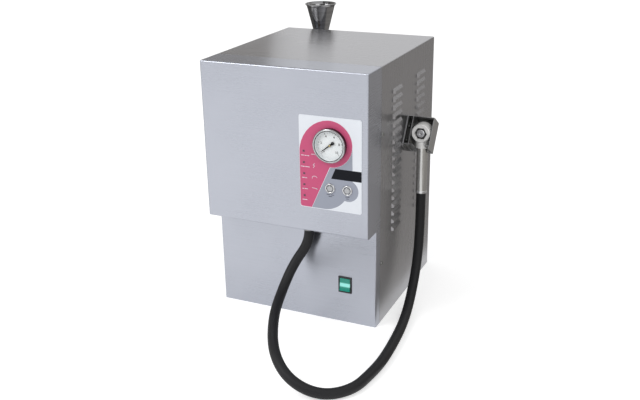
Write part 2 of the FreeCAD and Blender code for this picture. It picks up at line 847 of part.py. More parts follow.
lamps = []
for lamp in range(round(value("lamp_count"))):
    lamps.append(rod(f"lamp_{lamp + 1}", "lamp_radius", "lamp_length + lamp_height", "lamp_x",
                     "overlay_face + lamp_length", f"lamp_z - {lamp} * lamp_pitch", FRONT))
keep(gathered("lamps", *lamps), "status_leds")
board_bottom = "(lamp_z - lamp_pitch * (lamp_count - 1) - board_margin)"
board_parts = [block("board", "board_width", "board_thickness", f"lamp_z + board_margin - {board_bottom}",
                     "lamp_x - board_width / 2", "overlay_face + lamp_length", board_bottom)]
for end, z in (("upper", "lamp_z + board_margin - spacer_inset"), ("lower", f"{board_bottom} + spacer_inset")):
    board_parts.append(rod(end + "_spacer", "spacer_radius", "overlay_face + lamp_length - head_front - steel",
                           "lamp_x", "head_front + steel", z, BACK))
keep(fused("board_on_spacers", *board_parts), "lamp_board")

# Mains rocker, tipped in at the top

opening_x = "(rocker_width / 2 - rocker_rim)"
opening_z = "(rocker_height / 2 - rocker_rim)"
rim = block("rocker_rim_plate", "rocker_width", "rocker_stand", "rocker_height",
            "rocker_x - rocker_width / 2", "lower_front - rocker_stand", "rocker_level - rocker_height / 2")
box = block("rocker_box", f"2 * ({opening_x} + rocker_wall)", "rocker_depth", f"2 * ({opening_z} + rocker_wall)",
            f"rocker_x - {opening_x} - rocker_wall", "lower_front", f"rocker_level - {opening_z} - rocker_wall")
well = block("rocker_well", f"2 * {opening_x}", "rocker_depth + rocker_stand - rocker_wall", f"2 * {opening_z}",
             f"rocker_x - {opening_x}", "lower_front - rocker_stand - 1", f"rocker_level - {opening_z}")
rocker_pivot = ("lower_front + rocker_pivot_depth", "rocker_level", RIGHT)
pivot_reach = f"({opening_x} + rocker_wall - slip)"
axle_holes = rod("axle_holes", "rocker_pivot_radius + pivot_play", f"2 * {pivot_reach}",
                 f"rocker_x - {pivot_reach}", *rocker_pivot)
keep(cut("rocker_housing", fused("rocker_shell", rim, box), well, axle_holes), "rocker_frame")

rocker_reach = f"({opening_z} - rocker_play)"
rocker_profile = []
for up, out in ((f"-{rocker_reach}", "rocker_horn"), ("0", "rocker_waist"), (rocker_reach, "rocker_horn"),
                (rocker_reach, "-rocker_skirt"), ("rocker_keel_half", "-rocker_keel"),
                ("-rocker_keel_half", "-rocker_keel"), (f"-{rocker_reach}", "-rocker_skirt")):
    rocker_profile.append((
        f"lower_front + rocker_pivot_depth - ({out}) * cos(rocker_tilt) + ({up}) * sin(rocker_tilt)",
        f"rocker_level + ({up}) * cos(rocker_tilt) + ({out}) * sin(rocker_tilt)"))
wedge = new_body("rocker")
pad(wedge, "rocker_wedge", "YZ_Plane", f"rocker_x - {opening_x} + slip", f"2 * ({opening_x} - slip)", rocker_profile)
axle_reach = f"({pivot_reach} - slip)"
axle = rod("rocker_axle", "rocker_pivot_radius", f"2 * {axle_reach}", f"rocker_x - {axle_reach}", *rocker_pivot)
rocker = fused("rocker_with_axle", wedge, axle)
keep(rocker, "rocker_actuator")

# Gland, steam valve and hose

keep(turned("gland", [
    ("gland_bore", "-gland_height"),
    ("gland_radius - 2", "-gland_height"),
    ("gland_radius", "2 - gland_height"),
    ("gland_radius", "0"),
    ("gland_barrel", "0"),
    ("gland_barrel", "gland_rise"),
    ("gland_bore", "gland_rise"),
], "gland_x", "gland_y", "head_bottom"), "hose_gland")

half_block = "solenoid_block / 2"
valve_block = block("valve_block", "solenoid_block", "solenoid_block", "solenoid_height",
                    f"gland_x - {half_block}", f"gland_y - {half_block}", "gland_top")
valve_nipple = rod("valve_nipple", "pipe_radius + 2", "nipple_length",
                   "gland_x", f"gland_y + {half_block}", "gland_top + coil_radius", BACK)
valve_bore = rod("valve_bore", "gland_bore", "coil_radius + 1", "gland_x", "gland_y", "gland_top - 1")
keep(cut("steam_valve", fused("steam_valve_blank", valve_block, valve_nipple), valve_bore), "steam_solenoid")
keep(rod("coil", "coil_radius", "coil_length", f"gland_x - {half_block}", "gland_y",
         "gland_top + coil_radius", LEFT), "solenoid_coil")

hose_start = point("gland_x", "gland_y", "head_bottom - gland_height")
hose_end = point("cell_middle", "tube_y", "hose_end_z")
hose_route = [hose_start] + [FreeCAD.Vector(*spot) for spot in (
    (40, -190, 164),
    (17, -204, 120),
    (4, -250, 84),
    (23, -326, 69),
    (71, -421, 56),
    (119, -456, 29),
    (177, -450, 10),
    (223, -410, 10),
    (234, -344, 10),
    (238, -292, 10),
    (233, -224, 10),
    (226, -148, 10),
    (213, -66, 22),
    (209, -16, 87),
)] + [point("cell_middle", "tube_y", "hose_end_z - hose_rise"), hose_end]
hose, hose_radii, hose_length = tube_along("hose", hose_route, value("hose_radius"))
keep(hose, "steam_hose")
print("hose length", round(hose_length, 1), "radii", [round(radius) for radius in hose_radii])

# Handpiece holder: a two-cell sheet box, open to the front and tilted back

reach = "holder_reach"
depth = "holder_depth"
half = "holder_half"
holder_walls = [
    block("holder_plate", "steel", depth, f"2 * {half}", 0, 0, f"-{half}"),
    block("holder_divider", "steel", depth, f"2 * {half}", "holder_cell", 0, f"-{half}"),
    block("holder_cheek", "steel", depth, f"2 * {half}", f"{reach} - steel", 0, f"-{half}"),
    block("holder_top", reach, depth, "steel", 0, 0, f"{half} - steel"),
    block("holder_bottom", reach, depth, "steel", 0, 0, f"holder_floor - {half}"),
    block("holder_back", reach, "steel", f"2 * {half}", 0, f"{depth} - steel", f"-{half}"),
]
slot = block("holder_slot_cut", "2 * holder_slot", f"{depth} + 2", "holder_back_slot + 1",
             f"(holder_cell + {reach}) / 2 - holder_slot", -1, f"-{half} - 1")
screw_tools = []
for end in ("1", "-1"):
    screw_tools.append(rod(f"holder_hole{end}", "screw_radius + screw_clearance", "steel + 2",
                           -1, f"{depth} / 2", f"{end} * holder_screw_spread", RIGHT))
holder_turn = FreeCAD.Rotation(FreeCAD.Vector(1, 0, 0), -value("holder_tilt"))
holder_at = ("half_width", "holder_y", "holder_z")
holder = cut("holder", fused("holder_box", *holder_walls), slot, *screw_tools)
keep(place(holder, *holder_at, holder_turn), "holder_bracket")
holder_screws = []
holder_screw_places = []
for end in ("1", "-1"):
    y = f"(holder_y + {depth} / 2 * cos(holder_tilt) + {end} * holder_screw_spread * sin(holder_tilt))"
    z = f"(holder_z - {depth} / 2 * sin(holder_tilt) + {end} * holder_screw_spread * cos(holder_tilt))"
    holder_screw_places.append((y, z, "screw_radius + screw_clearance"))
    holder_screws.append(screw(f"holder_screw{end}", "screw_grip", "half_width + steel", y, z, RIGHT))
keep(gathered("screws_of_holder", *holder_screws), "holder_screws")
pocket(cover, "holder_screw_holes", "YZ_Plane", "half_width + 1", "steel + 2", circles=holder_screw_places)

# Handpiece: nozzle head with its collar, insert, tube and hose ferrule

nozzle_at = ("cell_middle", "nozzle_y", "nozzle_z", FRONT)
nozzle = turned("nozzle_drum", [
    ("0", "-nozzle_length"),
    ("nozzle_radius - 3", "-nozzle_length"),
    ("nozzle_radius", "3 - nozzle_length"),
    ("nozzle_radius", "-1.2"),
    ("nozzle_radius - 1.2", "0"),
    ("0", "0"),
], *nozzle_at)
pocket(nozzle, "nozzle_socket_cut", "XY_Plane", "1", "nozzle_recess + 1", [hexagon("nozzle_socket")])
collar = rod("collar", "collar_radius", "nozzle_z - collar_bottom", "cell_middle", "tube_y", "collar_bottom")
socket_room = rod("socket_room", "nozzle_radius - 4", "nozzle_recess", *nozzle_at[:3], BACK)
keep(fused("nozzle", nozzle, cut("collar_trimmed", collar, socket_room)), "nozzle_head")
keep(turned("insert", [
    ("orifice_radius", "-nozzle_recess"),
    ("insert_radius", "-nozzle_recess"),
    ("insert_radius", "-1.4"),
    ("insert_radius - 1.2", "-0.2"),
    ("orifice_radius + 1", "-0.2"),
    ("orifice_radius", "-1.2"),
], *nozzle_at), "nozzle_insert")
keep(rod("grip_tube", "tube_radius", "collar_bottom - hose_end_z - ferrule_height",
         "cell_middle", "tube_y", "hose_end_z + ferrule_height"), "handpiece_tube")
keep(turned("ferrule", [
    ("0", "0"),
    ("ferrule_radius", "0"),
    ("ferrule_radius", "ferrule_height - 1"),
    ("ferrule_radius - 1", "ferrule_height"),
    ("0", "ferrule_height"),
], "cell_middle", "tube_y", "hose_end_z"), "hose_ferrule")

# Filling funnel behind the cabinet

keep(turned("funnel", [
    ("spout_radius", "spout_z"),
    ("spout_radius", "funnel_neck_z - spout_taper"),
    ("funnel_neck_radius", "funnel_neck_z"),
    ("funnel_mouth_radius", "funnel_rim_z - 5"),
    ("funnel_rim_radius", "funnel_rim_z"),
    ("funnel_rim_radius", "funnel_rim_z + funnel_wall"),
    ("funnel_mouth_radius - funnel_wall", "funnel_rim_z - 4"),
    ("funnel_neck_radius - funnel_wall", "funnel_neck_z + funnel_wall / 3"),
    ("spout_radius - funnel_wall", "funnel_neck_z - spout_taper + funnel_wall / 2"),
    ("spout_radius - funnel_wall", "spout_z"),
], "funnel_x", "funnel_y", 0), "fill_funnel")


def ball_valve(name, nipple, *at):
    """A ball valve along its own Z axis, stem towards its own -Y, lever along +X when shut."""
    middle = "(valve_length / 2)"
    if nipple:
        outline = [("valve_port", f"-{nipple}"), ("elbow_radius", f"-{nipple}"), ("elbow_radius", "0")]
    else:
        outline = [("valve_port", "0")]
    outline += [
        ("valve_radius - 2", "0"),
        ("valve_radius - 2", "valve_neck"),
        ("valve_radius", "valve_neck + 4"),
        ("valve_radius", "valve_length - valve_neck - 4"),
        ("valve_radius - 2", "valve_length - valve_neck"),
        ("valve_radius - 2", "valve_length"),
        ("valve_port", "valve_length"),
    ]
    outer = turned(name + "_casting", outline)
    tower = rod(name + "_tower", "lever_stem + 3", "valve_radius + 3", 0, 0, middle, FRONT)
    seat = doc.addObject("Part::Sphere", name + "_seat")
    seat.setExpression("Radius", cells("ball_radius + slip"))
    place(seat, 0, 0, middle)
    gland_way = rod(name + "_gland_way", "lever_stem + slip", "valve_radius + 5", 0, 0, middle, FRONT)
    through = rod(name + "_through", "valve_port", "valve_length", 0, 0, 0)
    casing = cut(name + "_cut", fused(name + "_blank", outer, tower), seat, gland_way, through)
    keep(place(casing, *at), name + "_body")

    sphere = doc.addObject("Part::Sphere", name + "_sphere")
    sphere.setExpression("Radius", cells("ball_radius"))
    place(sphere, 0, 0, middle, RIGHT)
    port = rod(name + "_port", "valve_port", "2 * ball_radius + 2", "-ball_radius - 1", 0, middle, RIGHT)
    flat = block(name + "_flat", "2 * ball_radius", "ball_radius", "2 * ball_radius",
                 "-ball_radius", "-2 * ball_radius + 1.5", f"{middle} - ball_radius")
    keep(place(cut(name + "_bored", sphere, port, flat), *at), name + "_ball")

    stem_length = "(valve_radius + stem_reach - ball_radius + 1.5)"
    stem = rod(name + "_stem", "lever_stem", stem_length, 0, "1.5 - ball_radius", middle, FRONT)
    lever_y = f"(1.5 - ball_radius - {stem_length})"
    blade = block(name + "_blade", "lever_length", "lever_thickness", "lever_width",
                  "-lever_width / 2", f"{lever_y} - lever_thickness + 1", f"{middle} - lever_width / 2")
    keep(place(fused(name + "_handle", stem, blade), *at), name + "_lever")


ball_valve("fill_valve", None, "funnel_x", "funnel_y", "spout_z", DOWN)
ball_valve("drain_valve", "nipple_length", "drain_x", "back_face", "drain_level", BACK)
keep(turned("hose_tail", [
    ("0", "0"),
    ("spigot_radius + 2", "0"),
    ("spigot_radius + 2", "5"),
    ("spigot_radius", "5"),
    ("spigot_radius", "spigot_length - 2"),
    ("spigot_radius - 1.5", "spigot_length"),
    ("0", "spigot_length"),
], "drain_x", "back_face + valve_length", "drain_level", BACK), "drain_spigot")

# Boiler: a vertical vessel with ports, a heater collar and a stand

PORTS = {"steam": -22, "gauge": -57, "relief": 53, "probe": 121, "fill": 164, "switch": -142}


def port_at(port):
    return (f"boiler_x + port_circle * cos({PORTS[port]})", f"boiler_y + port_circle * sin({PORTS[port]})")


outside = turned("vessel_outside", rectangle("0", "boiler_bottom", "boiler_radius", "boiler_top"))
ends = (value("boiler_bottom"), value("boiler_top"))
round_edges(outside, "knuckles", "boiler_knuckle",
            lambda spot: min(abs(spot.z - ends[0]), abs(spot.z - ends[1])) < 0.01)
inner_bend = "(boiler_knuckle - boiler_wall)"
inside = turned("vessel_inside", [
    ("0", "boiler_bottom + boiler_wall"),
    (f"boiler_radius - boiler_wall - {inner_bend}", "boiler_bottom + boiler_wall"),
    ("boiler_radius - boiler_wall", f"boiler_bottom + boiler_wall + {inner_bend}"),
    ("boiler_radius - boiler_wall", f"boiler_top - boiler_wall - {inner_bend}"),
    (f"boiler_radius - boiler_wall - {inner_bend}", "boiler_top - boiler_wall"),
    ("0", "boiler_top - boiler_wall"),
])
collar_face = "(boiler_y - boiler_radius - heater_stand)"
vessel_parts = [place(outside, "boiler_x", "boiler_y")]
vessel_tools = [place(inside, "boiler_x", "boiler_y")]
for port in PORTS:
    x, y = port_at(port)
    vessel_parts.append(rod(port + "_boss", "boss_radius", "boss_height + 1", x, y, "boiler_top - 1"))
    vessel_tools.append(rod(port + "_bore", "boss_bore", "boiler_wall + boss_height + 2",
                            x, y, "boiler_top - boiler_wall - 1"))
vessel_parts.append(rod("drain_boss", "boss_radius", "boss_height + 1", "boiler_x", "boiler_y",
                        "boiler_bottom - boss_height"))
vessel_tools.append(rod("drain_bore", "boss_bore", "boiler_wall + boss_height + 2", "boiler_x", "boiler_y",
                        "boiler_bottom - boss_height - 1"))
vessel_parts.append(rod("heater_collar_tube", "heater_radius", "heater_collar", "boiler_x", collar_face,
                        "heater_level", BACK))
vessel_tools.append(rod("heater_way", "heater_radius - heater_wall", "heater_collar + 2", "boiler_x",
                        f"{collar_face} - 1", "heater_level", BACK))
keep(cut("vessel", fused("vessel_blank", *vessel_parts), *vessel_tools), "boiler_shell")

ring = cut("stand_ring_cut", rod("stand_disc", "stand_radius", "stand_height", "boiler_x", "boiler_y",
                                 "boiler_bottom - stand_height"),
           rod("stand_hole", "stand_radius - stand_ring", "stand_height + 2", "boiler_x", "boiler_y",
               "boiler_bottom - stand_height - 1"))
legs = []
for leg, angle in enumerate((-90, 30, 150), start=1):
    legs.append(rod(f"leg_{leg}", "leg_radius", "boiler_bottom - stand_height - steel",
                    f"boiler_x + (stand_radius - stand_ring / 2) * cos({angle})",
                    f"boiler_y + (stand_radius - stand_ring / 2) * sin({angle})", "steel"))
keep(fused("stand", ring, *legs), "boiler_stand")

keep(rod("flange", "heater_radius + heater_flange", "heater_flange", "boiler_x", f"{collar_face} - heater_flange",
         "heater_level", BACK), "heater_flange")
element_back = f"{collar_face} + element_length"
element_route = [
    point("boiler_x - element_spread", collar_face, "heater_level"),
    point("boiler_x - element_spread", element_back, "heater_level"),
    point("boiler_x + element_spread", element_back, "heater_level"),
    point("boiler_x + element_spread", collar_face, "heater_level"),
]
element, _, _ = tube_along("element", element_route, value("element_radius"), value("element_spread") - 0.1)
keep(element, "heating_element")

keep(turned("relief", [
    ("0", "0"),
    ("relief_radius * 0.75", "0"),
    ("relief_radius * 0.75", "relief_height * 0.3"),
    ("relief_radius", "relief_height * 0.4"),
    ("relief_radius", "relief_height * 0.78"),
    ("relief_radius * 0.6", "relief_height * 0.86"),
    ("relief_radius * 0.6", "relief_height"),
    ("0", "relief_height"),
], *port_at("relief"), "boss_top"), "safety_valve")
switch_x, switch_y = port_at("switch")
switch_stem = rod("pressure_neck", "stem_radius", "pressure_stem + 1", switch_x, switch_y, "boss_top")
switch_case = block("pressure_case", "pressure_width", "pressure_depth", "pressure_height",
                    f"{switch_x} - pressure_width / 2", f"{switch_y} - pressure_depth / 2",
                    "boss_top + pressure_stem")
keep(fused("pressure", switch_stem, switch_case), "pressure_switch")
keep(turned("probe", [
    ("0", "-probe_reach"),
    ("probe_rod", "-probe_reach"),
    ("probe_rod", "0"),
    ("probe_radius", "0"),
    ("probe_radius", "probe_height * 0.57"),
    ("probe_radius * 0.55", "probe_height * 0.57"),
    ("probe_radius * 0.55", "probe_height"),
    ("0", "probe_height"),
], *port_at("probe"), "boss_top"), "level_probe")

# Pipes


def pipe(name, radius, bend, *stops):
    piece, _, _ = tube_along(name + "_run", [point(*stop) for stop in stops], value(radius), value(bend))
    keep(piece, name)


nipple_end = "(gland_y + solenoid_block / 2 + nipple_length)"
valve_level = "gland_top + coil_radius"
pipe("steam_pipe", "pipe_radius", "pipe_bend",
     (*port_at("steam"), "boss_top"), (*port_at("steam"), "pipe_top"),
     ("gland_x", f"{nipple_end} + steam_pipe_run", "pipe_top"),
     ("gland_x", f"{nipple_end} + steam_pipe_run", valve_level), ("gland_x", nipple_end, valve_level))
stem_end = "(overlay_face + gauge_depth + stem_length)"
crossing = "pipe_top + pipe_spacing"
pipe("gauge_pipe", "pipe_radius", "pipe_bend",
     ("gauge_x", stem_end, "gauge_z"), ("gauge_x", f"{stem_end} + gauge_pipe_run", "gauge_z"),
     ("gauge_x", f"{stem_end} + gauge_pipe_run", crossing), (*port_at("gauge"), crossing),
     (*port_at("gauge"), "boss_top"))
pipe("fill_elbow", "elbow_radius", "elbow_radius + 2",
     ("funnel_x", "funnel_y", "spout_z - valve_length"), ("funnel_x", "funnel_y", "fill_level"),
     ("funnel_x", "back_face - nipple_length", "fill_level"))
fill_x, fill_y = port_at("fill")
pipe("fill_pipe", "pipe_radius", "pipe_bend",
     ("funnel_x", "back_face - nipple_length", "fill_level"), ("funnel_x", fill_y, "fill_level"),
     (fill_x, fill_y, "fill_level"), (fill_x, fill_y, "boss_top"))
pipe("drain_pipe", "pipe_radius", "pipe_bend",
     ("boiler_x", "boiler_y", "boiler_bottom - boss_height"), ("boiler_x", "boiler_y", "drain_level"),
     ("drain_x", "back_face - nipple_length", "drain_level"))

# Electrics on an upright plate, and the power inlet

upright = block("upright", "steel", "plate_length", "plate_height - steel", "plate_x", "plate_front", "steel")
foot = block("plate_foot_sheet", "plate_foot", "plate_length", "steel", "plate_x - plate_foot", "plate_front", "steel")
keep(fused("plate", upright, foot), "electrics_plate")
keep(block("contactor_case", "contactor_depth", "contactor_width", "contactor_height",
           "plate_x - contactor_depth", "plate_front + contactor_setback",
           "plate_height - contactor_height - contactor_drop"), "contactor")
keep(block("terminal_case", "terminal_depth", "terminal_width", "terminal_height",
           "plate_x - terminal_depth", "plate_front + terminal_setback",
           "plate_height - terminal_height - terminal_drop"), "terminal_block")

inlet_face = "(back_face + inlet_flange)"
inlet_plate = block("inlet_plate", "inlet_width", "inlet_flange", "inlet_height",
                    "inlet_x - inlet_width / 2", "back_face", "inlet_level - inlet_height / 2")
inlet_box = block("inlet_box", "inlet_body_width", "inlet_depth", "inlet_body_height",
                  "inlet_x - inlet_body_width / 2", "back_face - inlet_depth", "inlet_level - inlet_body_height / 2")
inlet_well = block("inlet_well", "inlet_socket_width", "inlet_socket_depth + 1", "inlet_socket_height",
                   "inlet_x - inlet_socket_width / 2", f"{inlet_face} - inlet_socket_depth",
                   "inlet_level - inlet_socket_height / 2")
keep(cut("inlet", fused("inlet_blank", inlet_plate, inlet_box), inlet_well), "power_inlet")
pins = []
for number, (across, up) in enumerate(((-1, -1), (0, 1), (1, -1)), start=1):
    pins.append(block(f"pin_{number}", "pin_width", "inlet_socket_depth - pin_setback", "pin_height",
                      f"inlet_x + {across} * pin_spread - pin_width / 2", f"{inlet_face} - inlet_socket_depth",
                      f"inlet_level + {up} * pin_offset - pin_height / 2"))
keep(gathered("pins", *pins), "inlet_pins")

# Checks, then one file for each piece

doc.recompute()
for item in doc.Objects:
    if "Invalid" in item.State or "Error" in item.State:
        raise RuntimeError(f"{item.Name} failed: {item.State}")
for piece in pieces:
    if piece.Shape.isNull() or not piece.Shape.isValid() or not piece.Shape.Solids:
        raise RuntimeError(f"{piece.Label} has no valid solid")
labels = [piece.Label for piece in pieces]
if len(set(labels)) != len(labels):
    raise RuntimeError("two pieces share a label")
for piece in pieces:
    piece.Shape.exportStep(os.path.join("parts", piece.Label + ".step"))
print(len(pieces), "pieces written")
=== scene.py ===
import bpy
import bmesh
import math
from mathutils import Matrix, Vector
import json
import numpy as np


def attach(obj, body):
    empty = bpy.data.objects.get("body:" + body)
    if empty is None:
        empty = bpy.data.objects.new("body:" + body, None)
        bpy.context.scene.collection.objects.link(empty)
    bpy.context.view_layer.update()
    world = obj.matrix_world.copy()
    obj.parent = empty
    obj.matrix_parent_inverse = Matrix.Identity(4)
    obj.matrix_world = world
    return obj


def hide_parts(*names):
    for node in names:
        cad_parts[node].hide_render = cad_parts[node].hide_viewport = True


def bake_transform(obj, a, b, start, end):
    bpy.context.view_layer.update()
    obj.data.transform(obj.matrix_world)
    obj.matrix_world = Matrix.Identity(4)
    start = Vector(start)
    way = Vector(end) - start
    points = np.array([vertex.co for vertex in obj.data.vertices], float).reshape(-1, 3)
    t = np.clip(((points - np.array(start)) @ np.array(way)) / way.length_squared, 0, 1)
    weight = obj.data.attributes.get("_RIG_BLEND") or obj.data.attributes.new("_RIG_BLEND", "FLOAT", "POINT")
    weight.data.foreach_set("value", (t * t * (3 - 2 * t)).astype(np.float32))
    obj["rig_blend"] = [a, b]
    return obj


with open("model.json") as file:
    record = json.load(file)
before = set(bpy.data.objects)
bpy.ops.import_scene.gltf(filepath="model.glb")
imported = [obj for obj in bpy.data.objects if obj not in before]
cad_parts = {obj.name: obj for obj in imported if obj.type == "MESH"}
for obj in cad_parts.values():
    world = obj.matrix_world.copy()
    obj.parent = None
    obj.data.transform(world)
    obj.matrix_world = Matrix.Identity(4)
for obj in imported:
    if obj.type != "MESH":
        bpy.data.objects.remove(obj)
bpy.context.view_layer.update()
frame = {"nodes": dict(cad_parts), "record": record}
nodes = frame["nodes"]
print("frame loaded:", len(nodes), "nodes")

# camera, where the photograph was taken from, its turns in degrees
cameraView = {"place": (0.7217, -1.6249, 0.8754), "turn": 24.7, "down": 20.95, "roll": -0.96,
              "lens": 48.8, "sensor": 36, "shift": (0.002, -0.0016), "sight": 60}
camera = bpy.data.objects.new("camera", bpy.data.cameras.new("camera"))
bpy.context.collection.objects.link(camera)
camera.matrix_world = (Matrix.Translation(cameraView["place"])
                       @ Matrix.Rotation(math.radians(cameraView["turn"]), 4, "Z")
                       @ Matrix.Rotation(math.radians(90 - cameraView["down"]), 4, "X")
                       @ Matrix.Rotation(math.radians(cameraView["roll"]), 4, "Z"))
camera.data.lens = cameraView["lens"]
camera.data.sensor_width = cameraView["sensor"]
camera.data.shift_x, camera.data.shift_y = cameraView["shift"]
camera.data.clip_end = cameraView["sight"]
bpy.context.scene.camera = camera
bpy.context.scene.view_settings.view_transform = "Standard"


def hexColour(text):
    # sRGB hex to the linear values that the nodes take
    parts = [int(text[i:i + 2], 16) / 255 for i in (1, 3, 5)]
    return [p / 12.92 if p <= 0.04045 else ((p + 0.055) / 1.055) ** 2.4 for p in parts] + [1.0]


def addNode(tree, kind, settings=None, inputs=None):
    node = tree.nodes.new("ShaderNode" + kind)
    for name, value in (settings or {}).items():
        setattr(node, name, value)
    for name, value in (inputs or {}).items():
        if isinstance(value, bpy.types.NodeSocket):
            tree.links.new(value, node.inputs[name])
        else:
            node.inputs[name].default_value = value
    return node


def startMaterial(name, colour, inputs):
    # a material with its even values on the shader's own sockets
    material = bpy.data.materials.new(name)
    material.use_nodes = True
    tree = material.node_tree
    shader = tree.nodes["Principled BSDF"]
    shader.inputs["Base Color"].default_value = hexColour(colour)
    for socket, value in inputs.items():
        shader.inputs[socket].default_value = value
    material.diffuse_color = hexColour(colour)
    return material, tree, shader


def perMm(size):
    # texture scale whose features are about that many millimetres
    return 1000 / size


def meshOfCurve(curve, name):
    holder = bpy.data.objects.new(name, curve)
    mesh = bpy.data.meshes.new_from_object(holder)
    bpy.data.objects.remove(holder)
    mesh.name = name
    return mesh


def meshOfWork(work, name):
    mesh = bpy.data.meshes.new(name)
    work.to_mesh(mesh)
    work.free()
    return mesh


# hose: EPDM steam hose, straight out of the gland, down on the counter and up to the handpiece
hoseLook = {"radius": 0.010, "blendFrom": -0.16, "blendTo": -0.012, "fullness": 12, "steps": 12}
hoseRoute = [
    (0.040, -0.190, 0.203), (0.040, -0.190, 0.1763), (0.0097, -0.205, 0.1278), (0.0034, -0.2518, 0.0825),
    (0.0235, -0.3263, 0.0692), (0.0714, -0.4214, 0.0573), (0.1195, -0.4543, 0.0291), (0.1773, -0.4495, 0.010),
    (0.2228, -0.4096, 0.010), (0.2336, -0.3438, 0.010), (0.2371, -0.2954, 0.010), (0.2334, -0.2237, 0.010),
    (0.2257, -0.148, 0.010), (0.2128, -0.0659, 0.0215), (0.2099, -0.016, 0.087), (0.2085, 0.0012, 0.164),
    (0.2085, 0.0012, 0.239),
]
hoseCurve = bpy.data.curves.new("hoseLine", "CURVE")
hoseCurve.dimensions = "3D"
hoseLine = hoseCurve.splines.new("NURBS")
hoseLine.points.add(len(hoseRoute) - 1)
for spot, at in zip(hoseLine.points, hoseRoute):
    spot.co = (*at, 1)
hoseLine.order_u = 3  # order and ends come after the points, or the line stays straight between them
hoseLine.use_endpoint_u = True
hoseLine.resolution_u = hoseLook["steps"]
hosePath = [spot.co.copy() for spot in meshOfCurve(hoseCurve, "hosePath").vertices]
hoseCurve.bevel_depth = hoseLook["radius"]
hoseCurve.bevel_resolution = hoseLook["fullness"]
hoseCurve.use_fill_caps = True
hose = bpy.data.objects.new("steamHose", meshOfCurve(hoseCurve, "steamHose"))
bpy.context.collection.objects.link(hose)
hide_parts("steam_hose")
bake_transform(hose, "cabinet", "handpiece", start=(0.2085, hoseLook["blendFrom"], 0.010),
         end=(0.2085, hoseLook["blendTo"], 0.010))

# light: a white studio with a key lamp high at the front left and grey cards that only metal reflects
studio = {"worldForShade": 0.72, "aim": (0, 0, 0.25),
          "keyPlace": (-1.5, -2.0, 2.3), "keyPower": 34, "keySize": 1.5,
          "fillPlace": (2.2, -1.6, 1.8), "fillPower": 8, "fillSize": 2.0,
          "floorSize": 14, "floorColour": "#E6E6E6", "floorGlow": 0.5,
          "cardPaints": {"greyCard": "#A8A5A2", "darkCard": "#6C6B6A", "paleCard": "#C9C6C3"},
          "cardLift": 0.0006, "farEdge": 3.6}


def raysThatSee(tree):
    # 1 for the rays that show a background: straight to the camera, in metal and through glass
    lightPath = addNode(tree, "LightPath")
    seen = addNode(tree, "Math", {"operation": "MAXIMUM"},
                   {0: lightPath.outputs["Is Camera Ray"], 1: lightPath.outputs["Is Glossy Ray"]})
    return addNode(tree, "Math", {"operation": "MAXIMUM"},
                   {0: seen.outputs[0], 1: lightPath.outputs["Is Transmission Ray"]}).outputs[0]


world = bpy.data.worlds.new("studio")
bpy.context.scene.world = world
world.use_nodes = True
worldTree = world.node_tree
worldTree.nodes.clear()
strength = addNode(worldTree, "MapRange", inputs={"Value": raysThatSee(worldTree),
                                                  "To Min": studio["worldForShade"], "To Max": 1.0})
sky = addNode(worldTree, "Background", inputs={"Color": hexColour("#FFFFFF"), "Strength": strength.outputs[0]})
addNode(worldTree, "OutputWorld", inputs={"Surface": sky.outputs[0]})

for lampName in ("key", "fill"):
    lampData = bpy.data.lights.new(lampName + "Lamp", "AREA")
    lampData.energy = studio[lampName + "Power"]
    lampData.size = studio[lampName + "Size"]
    lamp = bpy.data.objects.new(lampName + "Lamp", lampData)
    bpy.context.collection.objects.link(lamp)
    lamp.location = studio[lampName + "Place"]
    towards = Vector(studio["aim"]) - Vector(studio[lampName + "Place"])
    lamp.rotation_euler = towards.to_track_quat("-Z", "Y").to_euler()


def studioCard(name, corners, material, onlyInMirror=True):
    # a flat sheet between four corners, given round its edge
    work = bmesh.new()
    work.faces.new([work.verts.new(corner) for corner in corners])
    card = bpy.data.objects.new(name, meshOfWork(work, name))
    bpy.context.collection.objects.link(card)
    card.data.materials.append(material)
    if onlyInMirror:
        card.visible_camera = False
        card.visible_diffuse = False
        card.visible_shadow = False
        card.visible_transmission = False


def lying(left, right, front, back, height):
    # corners of a card that lies level
    return [(left, front, height), (right, front, height), (right, back, height), (left, back, height)]


def standing(start, stop, low, high):
    # corners of a card that stands between two points of the floor
    return [(*start, low), (*stop, low), (*stop, high), (*start, high)]


paintedFloor, tree, shader = startMaterial("mattPaintedFloor", studio["floorColour"],
                                           {"Roughness": 0.9, "Specular IOR Level": 0.1})
shader.inputs["Emission Color"].default_value = hexColour("#FFFFFF")
glow = addNode(tree, "MapRange", inputs={"Value": raysThatSee(tree), "To Max": studio["floorGlow"]})
tree.links.new(glow.outputs[0], shader.inputs["Emission Strength"])
half = studio["floorSize"] / 2
studioCard("floor", lying(-half, half, -half, half, 0), paintedFloor, False)

cardPaints = {}
for paintName, colour in studio["cardPaints"].items():
    cardPaints[paintName] = bpy.data.materials.new(paintName)
    cardPaints[paintName].use_nodes = True
    tree = cardPaints[paintName].node_tree
    tree.nodes.clear()
    light = addNode(tree, "Emission", inputs={"Color": hexColour(colour), "Strength": 1.0})
    addNode(tree, "OutputMaterial", inputs={"Surface": light.outputs[0]})

